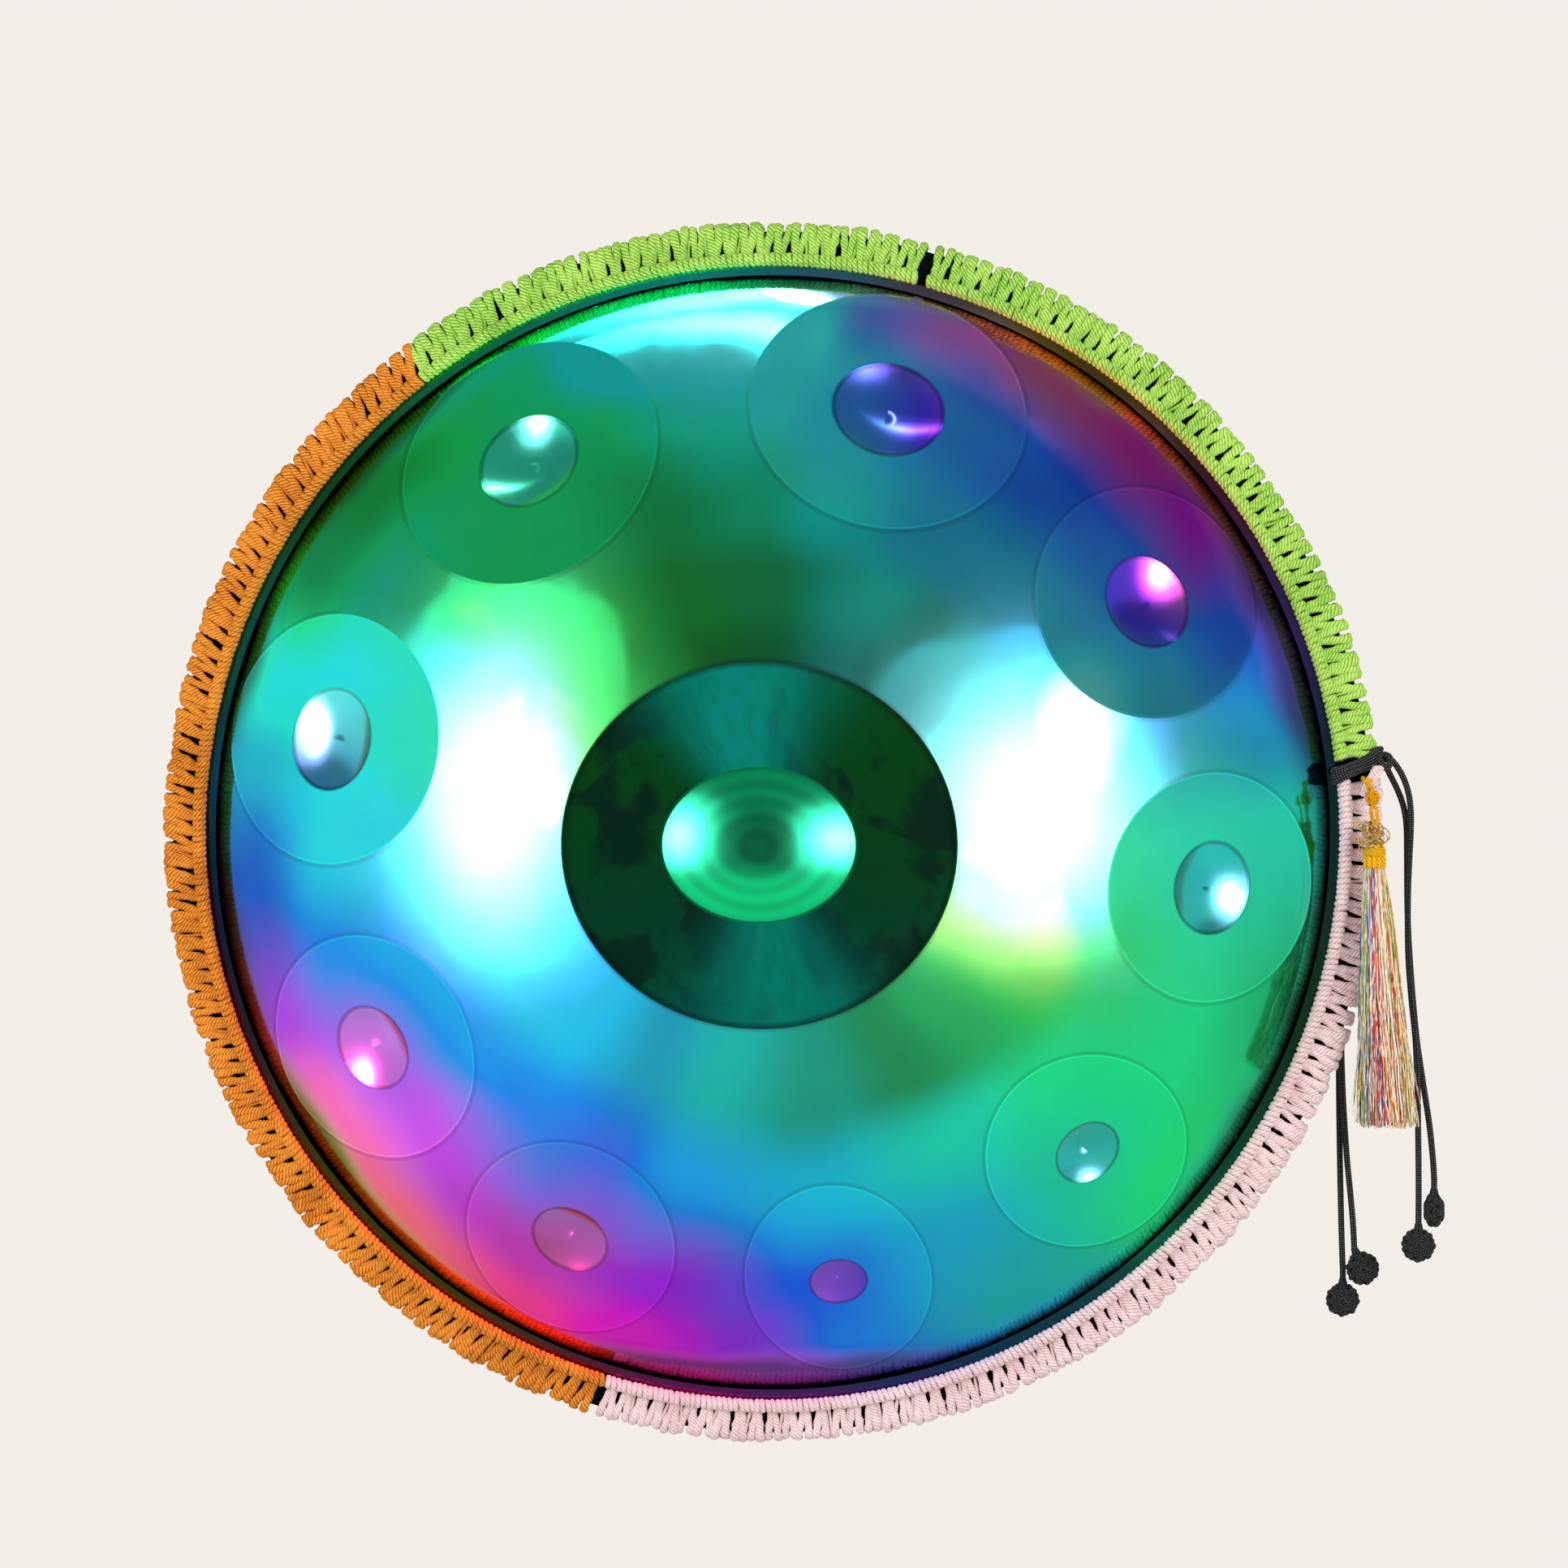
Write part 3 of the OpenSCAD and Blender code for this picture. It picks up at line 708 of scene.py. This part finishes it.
# height and distance from the middle, in mm
CAP_STRANDS = [(PIVOT[2] / MM - 1.2, 0.9), (-1, 1.5), (-4, 3.0), (-8, 3.7), (-13.4, 4.1)]
CAP_BINDING = [(-4.6, 4.4), (-5.8, 4.7), (-7.0, 4.8)]
for k in range(STRANDS):
    a = 2 * math.pi * k / STRANDS
    p = cap_mid + np.array([(r * math.cos(a), r * math.sin(a), z) for z, r in CAP_STRANDS]) * MM
    work.tube(smooth_path(p, 0.8 * MM), 1.25 * MM, 0.95 * MM, sides=9, lobes=3, lobe=0.1, turn=1300)
for z, r in CAP_BINDING:
    turn = np.linspace(0, 2 * math.pi, 30, endpoint=False)
    p = cap_mid + np.column_stack([r * np.cos(turn), r * np.sin(turn), z + 0.25 * np.sin(turn)]) * MM
    work.tube(p, 0.65 * MM, 0.5 * MM, sides=8, closed=True, lobes=3, lobe=0.1, turn=1300)
ball_core(work, cap_mid + np.array([0, 0, -9 * MM]), (0, 0, 1), 3.7 * MM, 5 * MM)
obj = work.build("tassel_cap_yarn", [YELLOW])
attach(obj, "tassel_head")
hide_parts("tassel_cap")

# the skirt: a few hundred fine threads
THREADS = {
    "white": (250, 246, 240), "cream": (244, 226, 168), "red": (214, 62, 36), "orange": (232, 112, 54),
    "blue": (36, 112, 164), "lavender": (190, 186, 224), "gold": (208, 168, 66), "green": (140, 176, 84),
    "yellow": (240, 228, 110), "rose": (220, 116, 112),
}


def thread(name, colour):
    """A thread of the skirt, with fibres of another colour spun in."""
    m, t = material("thread_" + name)
    place = t.place()
    tone = t.noise(t.vector("MULTIPLY", place, (2000.0, 2000.0, 240.0)), 1.0, 2.0)
    other = t.noise(t.vector("MULTIPLY", place, (1500.0, 1500.0, 160.0)), 1.0, 1.0)
    dark = tuple(c * 0.5 for c in colour[:3]) + (1.0,)
    spun = t.mix(t.span(other, 0.48, 0.58, 0.0, 0.8), colour, linear(250, 236, 214))
    t.surface({
        "Base Color": t.mix(t.span(tone, 0.32, 0.5), dark, spun), "Roughness": 0.5, "Sheen Weight": 0.2,
        "Specular IOR Level": 0.1, "Normal": t.bump(tone, 0.00006, 0.6)})
    return m


thread_names = list(THREADS)
thread_materials = [thread(n, linear(*THREADS[n])) for n in thread_names]
# which threads lie where, from the left of the skirt to its right
BANDS = [
    ["lavender", "white", "gold", "blue", "green"],
    ["red", "white", "lavender", "red", "blue", "gold"],
    ["red", "orange", "white", "cream", "rose", "red", "blue"],
    ["white", "cream", "lavender", "red", "white", "gold"],
    ["cream", "yellow", "white", "green", "yellow", "gold"],
]
foot = np.array([skirt_high[0] - 14.6 * MM, TASSEL_Y, skirt_low[2]])
crown = np.array([cap_mid[0], TASSEL_Y, skirt_high[2] + 1.5 * MM])
# the skirt's half width at its crown and foot, and its half depth at its foot, in mm
CROWN_HALF, FOOT_HALF, FOOT_DEEP = 4.1, 13.0, 6.4
work = Builder()
for k in range(THREAD_COUNT):
    spin = rng.uniform(0, 2 * math.pi)
    out = math.sqrt(rng.uniform(0.12, 1.0))
    across, deep = out * math.cos(spin), out * math.sin(spin)
    band = BANDS[min(4, max(0, int((across + rng.uniform(-0.3, 0.3)) * 2.5 + 2.5)))]
    s = np.linspace(0, 1, 25)
    spread = s**0.68
    # each thread wanders over its neighbours, and is crimped all along
    wander = 0.16 * np.sin(s * rng.uniform(3, 6) + rng.uniform(0, 6)) * spread
    crimp = np.sin(s * rng.uniform(22, 34) + rng.uniform(0, 6)) * (0.3 + 0.7 * s) * rng.uniform(0.15, 0.45) * MM
    half = (CROWN_HALF * (1 - spread) + FOOT_HALF * spread) * MM
    x = crown[0] + (foot[0] - crown[0]) * s + np.clip(across + wander, -1.08, 1.08) * half + crimp
    y = TASSEL_Y + deep * (CROWN_HALF * (1 - spread) + FOOT_DEEP * spread) * MM + crimp * math.cos(spin)
    z = crown[2] + (foot[2] - crown[2] + rng.uniform(-1.5, 3.5) * MM) * s
    radius = rng.uniform(0.22, 0.36) * MM
    work.tube(np.column_stack([x, y, z]), radius, radius, sides=5, mark=thread_names.index(rng.choice(band)))
for k in range(STRAYS):
    # strays that hang clear of the rest
    s = np.linspace(0, 1, 15)
    side = -1 if k < 7 else 1
    reach = rng.uniform(13.5, 17.5) if side < 0 else 14.5
    x = crown[0] + (foot[0] - crown[0]) * s + side * reach * MM * s**1.2 + np.sin(s * 7 + k) * 0.8 * MM * s
    y = TASSEL_Y + rng.uniform(-4, 3) * MM * s
    z = crown[2] + (foot[2] - crown[2]) * rng.uniform(0.9, 1.0) * s
    name = ("white", "lavender", "gold")[k % 3]
    work.tube(np.column_stack([x, y, z]), 0.2 * MM, 0.2 * MM, sides=5, mark=thread_names.index(name))
obj = work.build("tassel_skirt_threads", thread_materials)
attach(obj, "tassel_head")
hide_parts("tassel_skirt")


# -------------------------------------------- rainbow steel
def tones(stops):
    """Colour ramp stops from (degrees, r, g, b)."""
    return [(a / 360, linear(r, g, b)) for a, r, g, b in stops]


# The steel's colours round the drum, from 3 o'clock towards 12, at the given radii in mm. The outermost ring is
# painted reflection of the cover, not the steel's own tint
TONES = {
    125: tones([
        (0, 70, 192, 112), (22, 56, 184, 156), (34, 0, 122, 108), (48, 0, 122, 106), (60, 0, 142, 130),
        (84, 0, 108, 62), (108, 0, 110, 44), (120, 4, 146, 58), (128, 22, 158, 70), (144, 62, 178, 90),
        (166, 76, 198, 122), (186, 50, 188, 168), (204, 50, 184, 222), (224, 0, 172, 222), (244, 0, 138, 170),
        (262, 0, 160, 156), (284, 0, 136, 116), (300, 0, 122, 74), (314, 12, 150, 84), (334, 80, 182, 92),
        (360, 70, 192, 112),
    ]),
    160: tones([
        (0, 50, 192, 140), (20, 80, 170, 160), (34, 0, 124, 140), (58, 2, 118, 142), (76, 0, 150, 142),
        (92, 0, 140, 100), (108, 0, 122, 60), (124, 0, 150, 80), (142, 60, 168, 90), (160, 36, 204, 156),
        (180, 70, 192, 216), (198, 0, 146, 220), (212, 60, 142, 234), (228, 84, 134, 228), (244, 84, 114, 212),
        (258, 2, 146, 216), (280, 0, 166, 200), (300, 0, 184, 160), (320, 16, 188, 120), (342, 54, 180, 108),
        (360, 50, 192, 140),
    ]),
    208: tones([
        (0, 0, 184, 150), (18, 0, 128, 150), (34, 26, 84, 150), (50, 30, 72, 156), (64, 20, 84, 160),
        (80, 0, 120, 150), (98, 0, 166, 140), (112, 0, 140, 78), (132, 6, 166, 84), (148, 16, 194, 120),
        (164, 70, 214, 184), (180, 0, 196, 226), (194, 80, 138, 230), (208, 150, 104, 226), (222, 180, 92, 214),
        (240, 166, 70, 160), (258, 136, 68, 192), (276, 70, 96, 200), (294, 0, 150, 190), (312, 8, 170, 136),
        (330, 34, 188, 116), (360, 0, 184, 150),
    ]),
    245: tones([
        (0, 0, 178, 152), (12, 14, 126, 166), (24, 46, 76, 156), (36, 104, 36, 116), (48, 116, 40, 100),
        (60, 112, 58, 82), (70, 96, 60, 110), (80, 62, 84, 150), (92, 30, 205, 205), (104, 40, 225, 210),
        (118, 0, 166, 86), (136, 4, 130, 52), (152, 8, 144, 80), (162, 60, 200, 168), (174, 0, 160, 184),
        (186, 60, 100, 190), (200, 150, 84, 196), (214, 214, 108, 166), (228, 224, 116, 132), (242, 216, 86, 136),
        (256, 196, 50, 180), (268, 130, 72, 196), (280, 40, 112, 200), (300, 0, 156, 160), (320, 40, 186, 108),
        (340, 30, 158, 104), (360, 0, 178, 152),
    ]),
    # painted reflection of the cover: the foot of the dome mirrors it, so this ring is painted paler than the
    # steel's own tint
    260: tones([
        (0, 14, 110, 110), (20, 84, 76, 150), (38, 100, 50, 84), (50, 110, 84, 46), (62, 114, 98, 44),
        (74, 100, 96, 110), (86, 80, 140, 170), (98, 14, 200, 186), (120, 12, 168, 120), (140, 30, 130, 64),
        (160, 18, 146, 124), (178, 12, 132, 170), (190, 76, 84, 140), (200, 110, 80, 100), (210, 140, 124, 80),
        (220, 152, 144, 66), (232, 152, 144, 62), (242, 154, 130, 76), (252, 168, 84, 130), (262, 176, 72, 168),
        (272, 150, 90, 190), (284, 100, 112, 190), (300, 28, 146, 172), (320, 43, 176, 136), (340, 26, 126, 90),
        (360, 14, 110, 110),
    ]),
}


# The playing side, as it was pressed: the ball its dome is cut from, and its notes
TOP_H = 106 * MM
DOME_R = 264 * MM
TOP_BALL = (DOME_R**2 + TOP_H**2) / (2 * TOP_H)
BALL_CENTRE = Vector((0, RIM.y - TOP_H + TOP_BALL, 0))
RING_R = 208 * MM
# the outer notes: angle round the drum in degrees; half width, half length and dimple radius in mm
NOTES = [
    (74, 64, 66, 26), (122, 63, 65, 24.5), (167, 58, 64, 24), (208, 54, 59, 20.5), (244, 50, 57, 18.5),
    (279.5, 43, 57, 13.5), (316, 47, 56, 16), (354, 53, 58, 21.5), (32, 54, 60, 22),
]
# the centre note and the dome in it: half width and half height in mm
DING = (88.5, 82)
BOSS = (43.5, 35)


def oval(t, x, y, wide, tall):
    """How far out a point is in an oval of these half sizes, in mm: 1 at its edge."""
    return t.vector("LENGTH", t.join(t.math("DIVIDE", x, wide * MM), t.math("DIVIDE", y, tall * MM)))


def note_masks(t, place):
    """Masks of the outer notes: inside, just inside the crease (for a painted highlight), just outside the crease
    (for a painted shade line), in the dimple, and along the dimple's edge (for a painted shade line)."""
    tilt = math.asin(RING_R / TOP_BALL)
    masks = []
    for degrees, half_width, half_length, dimple_r in NOTES:
        a = math.radians(degrees)
        along = Vector((math.cos(tilt) * math.cos(a), math.sin(tilt), math.cos(tilt) * math.sin(a)))
        across = Vector((-math.sin(a), 0, math.cos(a)))
        x = t.math("SUBTRACT", t.vector("DOT_PRODUCT", place, along), BALL_CENTRE.dot(along))
        y = t.vector("DOT_PRODUCT", place, across)
        note = oval(t, x, y, half_length, half_width)
        dip = oval(t, x, y, dimple_r, dimple_r)
        masks.append((
            t.span(note, 0.985, 1.0, 1.0, 0.0), t.near(note, 0.99, 0.004, 0.012), t.near(note, 1.012, 0.005, 0.03),
            t.span(dip, 0.98, 1.0, 1.0, 0.0), t.near(dip, 0.975, 0.01, 0.07)))
    return [t.plus(*mask) for mask in zip(*masks)]


def rainbow_steel(name, turned=0.0, playing_side=True):
    """Nitrided and tinted steel: its colour goes round the drum and changes towards the middle. Painted light,
    shade and reflections are laid into that colour as well.
    """
    m, t = material(name)
    place = t.place()
    # the colours stray a little from true rings and rays
    stray = t.vector("SUBTRACT", t.noise(place, 7.0, 2.0, output="Color"), (0.5, 0.5, 0.5))
    x, _, z = t.split(t.vector("ADD", place, t.vector("SCALE", stray, scale=0.06)))
    radius = t.math("SQRT", t.plus(t.times(x, x), t.times(z, z)))
    angle = t.math("ARCTAN2", z, x if playing_side else t.times(x, -1.0))
    turn = t.math("FRACT", t.math("ADD", t.math("DIVIDE", angle, 2 * math.pi), 1.0 + turned))
    tint = last = None
    for ring_r, stops in TONES.items():
        ring = t.ramp(turn, stops)
        tint = ring if tint is None else t.mix(t.span(radius, last * MM, ring_r * MM), tint, ring)
        last = ring_r
    # clouded film, and fine rings left by polishing
    cloud = t.noise(place, 18.0, 4.0, 0.6)
    tint = t.mix(t.span(cloud, 0.35, 0.7, 0.0, 0.16), tint, linear(60, 235, 215), "SOFT_LIGHT")
    grain = t.noise(t.join(t.times(radius, 900.0), t.times(turn, 14.0)), 1.0, 3.0, 0.6)
    # painted light and shade: brighter towards the top, and painted shade at the foot of the dome and on the
    # flange, near the cover
    value = t.times(t.span(z, 0.03, 0.11, 1.42, 2.7), t.span(z, 0.16, 0.22, 1.0, 1.3))
    value = t.times(value, t.span(radius, 0.251, 0.2605, 1.0, 0.38))
    smear = t.noise(place, 30.0, 3.0, 0.55)
    rough = t.plus(t.span(smear, 0.3, 0.75, 0.05, 0.10), t.times(grain, 0.03))
    hue, depth, haze, trace = 0.5, 1.1, 0.01, 0.009
    if playing_side:
        inside, light, dark, dimple, dimple_edge_shade = note_masks(t, place)
        # the notes a little lighter and the dimples darker; a painted highlight just inside each crease, and
        # painted shade lines just outside it and along each dimple's edge
        for mask, by in ((inside, 0.14), (light, 0.4), (dark, -0.22), (dimple, -0.28), (dimple_edge_shade, -0.45)):
            value = t.times(value, t.change(mask, by))
        hue, depth = t.change(dimple, 0.06, hue), t.change(dimple, -0.12, depth)
        haze = t.change(t.math("SUBTRACT", dimple, dimple_edge_shade), 0.008, haze)
        # the centre note: darker, from the painted reflection below, with painted highlights in fans over and
        # under its dome, where ring-shaped brushing would catch the light
        fx, _, fz = t.split(place)
        ding, boss = (oval(t, fx, fz, *size) for size in (DING, BOSS))
        spread = t.math("DIVIDE", t.plus(fx, t.times(fz, 0.16)), t.plus(t.math("ABSOLUTE", fz), 0.004))
        streaks = t.noise(t.join(t.times(spread, 9.0), t.times(ding, 5.0)), 1.0, 3.0)
        painted_fan_highlight = t.math("EXPONENT", t.times(spread, spread, -3.2))
        painted_fan_highlight = t.times(painted_fan_highlight, t.span(z, -0.03, 0.03, 0.75, 1.0), t.span(streaks, 0.2, 0.8, 0.7, 1.0))
        # painted reflection: dark green patches standing in for the dark end of the studio seen in the hollow
        studio_reflection_patches = t.noise(place, 34.0, 4.0, 0.6, 0.4)
        deep = t.mix(t.span(z, -0.07, 0.06), linear(0, 112, 76), linear(0, 122, 40))
        deep = t.mix(t.span(studio_reflection_patches, 0.48, 0.58), deep, linear(0, 78, 54))
        deep = t.mix(painted_fan_highlight, deep, linear(60, 218, 196))
        fill = t.mix(t.span(boss, 0.98, 1.02, 1.0, 0.0), deep, linear(62, 196, 132))
        in_ding, in_boss = t.span(ding, 0.985, 1.0, 1.0, 0.0), t.span(boss, 0.98, 1.0, 1.0, 0.0)
        tint = t.mix(in_ding, tint, fill)
        haze = t.times(haze, t.change(in_ding, -0.7))
        trace = t.change(in_ding, -0.004, trace)
        rough = t.change(t.plus(in_boss, dimple), 0.1, rough)
        waves = t.change(t.math("SINE", t.times(boss, 30.0)), 0.13, 1.15)
        waves = t.times(waves, t.span(boss, 0.1, 0.6, 0.6, 1.0))
        ding_value = t.blend(in_boss, t.change(painted_fan_highlight, 0.6, 1.15), waves)
        # painted shade in the groove round the centre note
        ding_edge_shade = t.near(ding, 0.99, 0.0, 0.035)
        value = t.times(t.blend(in_ding, value, ding_value), t.change(ding_edge_shade, -0.55))
    lift = t.add("HueSaturation", {"Hue": hue, "Saturation": depth, "Value": value, "Color": tint})
    # even the purest tint keeps a trace of every colour, so the lamps burn out to white in it
    lift = t.vector("MINIMUM", t.vector("MAXIMUM", lift, t.join(trace, trace, trace)), (1.0, 1.0, 1.0))
    # the dome flares a little just before it meets the flange, and has hammer marks
    flare = t.bump(t.span(radius, 0.248, 0.262, kind="LINEAR"), 0.0009, 1.0)
    dents = t.bump(t.noise(place, 20.0, 2.0), 0.0003, 1.0, flare)
    metal = t.add("BsdfPrincipled", {
        "Base Color": lift, "Metallic": 1.0, "Roughness": rough, "Normal": t.bump(grain, 0.00002, 0.2, dents)})
    film = t.add("BsdfGlossy", {"Color": (0.95, 0.97, 1.0, 1.0), "Roughness": 0.22, "Normal": dents})
    t.output(t.add("MixShader", {0: haze, 1: metal, 2: film}))
    return m


def put_material(node, m):
    nodes[node].data.materials.clear()
    nodes[node].data.materials.append(m)


put_material("top_shell", rainbow_steel("top_steel"))
put_material("bottom_shell", rainbow_steel("bottom_steel", turned=0.35, playing_side=False))

rubber, t = material("trim_rubber")
grain = t.noise(t.place(), 1400.0, 3.0)
dust = t.noise(t.place(), 25.0, 3.0)
t.surface({
    "Base Color": t.mix(t.span(dust, 0.35, 0.7), linear(6, 6, 6), linear(14, 15, 15)), "Specular IOR Level": 0.0,
    "Roughness": t.span(grain, 0.3, 0.7, 0.5, 0.72), "Normal": t.bump(grain, 0.00006, 0.5)})
put_material("edge_trim", rubber)

glue, t = material("seam_glue")
beads = t.noise(t.place(), 300.0, 3.0)
t.surface({
    "Base Color": t.mix(beads, linear(70, 70, 74), linear(120, 120, 124)), "Roughness": 0.35,
    "Normal": t.bump(beads, 0.0001, 0.4)})
put_material("seam_glue", glue)

# -------------------------------------------- floor, lights and surroundings
BACKDROP = linear(243, 238, 232)
FLOOR_Z = -0.66
FLOOR_R = 2.4
FLOOR_SIDES = 64
# the floor's shadows fade out between these distances from under the drum
SHADE_NEAR, SHADE_FAR = 0.35, 1.1
disc = bpy.data.meshes.new("floor")
edge = [2 * math.pi * k / FLOOR_SIDES for k in range(FLOOR_SIDES)]
edge = [(FLOOR_R * math.cos(a), FLOOR_R * math.sin(a), FLOOR_Z) for a in edge]
disc.from_pydata(edge, [], [tuple(range(FLOOR_SIDES))])
floor = bpy.data.objects.new("floor", disc)
scene.collection.objects.link(floor)
paper, t = material("floor_paper")
x, y, _ = t.split(t.place())
away = t.vector("LENGTH", t.join(x, y))
plain = t.add("Emission", {"Color": BACKDROP, "Strength": 1.0})
matt = t.add("BsdfDiffuse", {"Color": linear(226, 222, 216)})
shaded = t.add("MixShader", {0: t.span(away, SHADE_NEAR, SHADE_FAR), 1: matt, 2: plain})
fade_out = t.span(away, SHADE_FAR, FLOOR_R)
t.output(t.add("MixShader", {0: fade_out, 1: shaded, 2: t.add("BsdfTransparent")}))
disc.materials.append(paper)

world = bpy.data.worlds.new("studio")
scene.world = world
world.cycles.sampling_method = "NONE"
t = Tree(world)
way = t.add("TexCoord").outputs["Generated"]
_, depth, height = t.split(way)
# brighter below than above, with the dark end of the studio in front of the drum
level = t.times(t.span(height, 0.28, 0.46, 0.72, 0.30), t.span(t.times(depth, -1.0), 0.82, 0.97, 1.0, 0.30))


def glow(azimuth, elevation, wide, tall, power, edge=None):
    """The light of a lamp in its diffuser, falling off softly, and the diffuser's own face.
    wide and tall are in degrees, and edge is the face's half size as a share of them."""
    centre, side, up = direction(azimuth, elevation)
    squares = []
    for axis, size in ((side, wide), (up, tall)):
        part = t.math("DIVIDE", t.vector("DOT_PRODUCT", way, axis), math.sin(math.radians(size)))
        squares.append(t.times(part, part))
    facing = t.math("GREATER_THAN", t.vector("DOT_PRODUCT", way, centre), 0.0)
    light = t.times(t.math("EXPONENT", t.times(t.plus(*squares), -1.0)), power, facing)
    if edge is None:
        return light, None
    box = t.math("POWER", t.plus(*[t.times(q, q) for q in squares]), 0.25)
    return light, t.times(t.span(box, edge, edge * 1.04, 1.0, 0.0), facing)


# warm lamps: the green steel turns them nearly white, with a pale edge
WARM = (0.95, 0.18, 0.25)
SLOT = (2.2, 0.8, 0.8)
DIFFUSER = (2.6, 0.85, 1.25)
glows = [glow(-44, 4, 9.0, 14.2, 105, 2.0), glow(39, 2, 11.6, 12.4, 105, 2.0), glow(-12, 81.8, 15, 1.9, 26)]
path = t.add("LightPath")
glossy = path.outputs["Is Glossy Ray"]
room = level
for _, face in glows:
    if face is not None:
        room = t.mix(t.times(face, glossy), room, DIFFUSER + (1,))
for (light, _), colour in zip(glows, (WARM, WARM, SLOT)):
    room = t.vector("ADD", room, t.vector("SCALE", colour, scale=t.times(light, glossy)))
seen = t.mix(path.outputs["Is Camera Ray"], room, BACKDROP)
t.output(t.add("Background", {"Color": seen, "Strength": 1.0}), "OutputWorld")


def softbox(name, azimuth, elevation, distance, wide, tall, power):
    """A soft light on the yarn and the cords. The steel mirrors the glows above instead."""
    light = bpy.data.lights.new(name, "AREA")
    light.shape, light.size, light.size_y, light.energy = "RECTANGLE", wide, tall, power
    lamp = aimed(light, azimuth, elevation, distance)
    lamp.visible_camera = False
    lamp.visible_glossy = False


softbox("left_fill", -48, 14, 1.9, 0.8, 1.1, 19)
softbox("right_fill", 44, 22, 1.9, 0.8, 1.1, 19)
softbox("back_fill", 180, 35, 2.2, 1.2, 1.2, 16)

scene.view_settings.view_transform = "Standard"
scene.view_settings.look = "None"
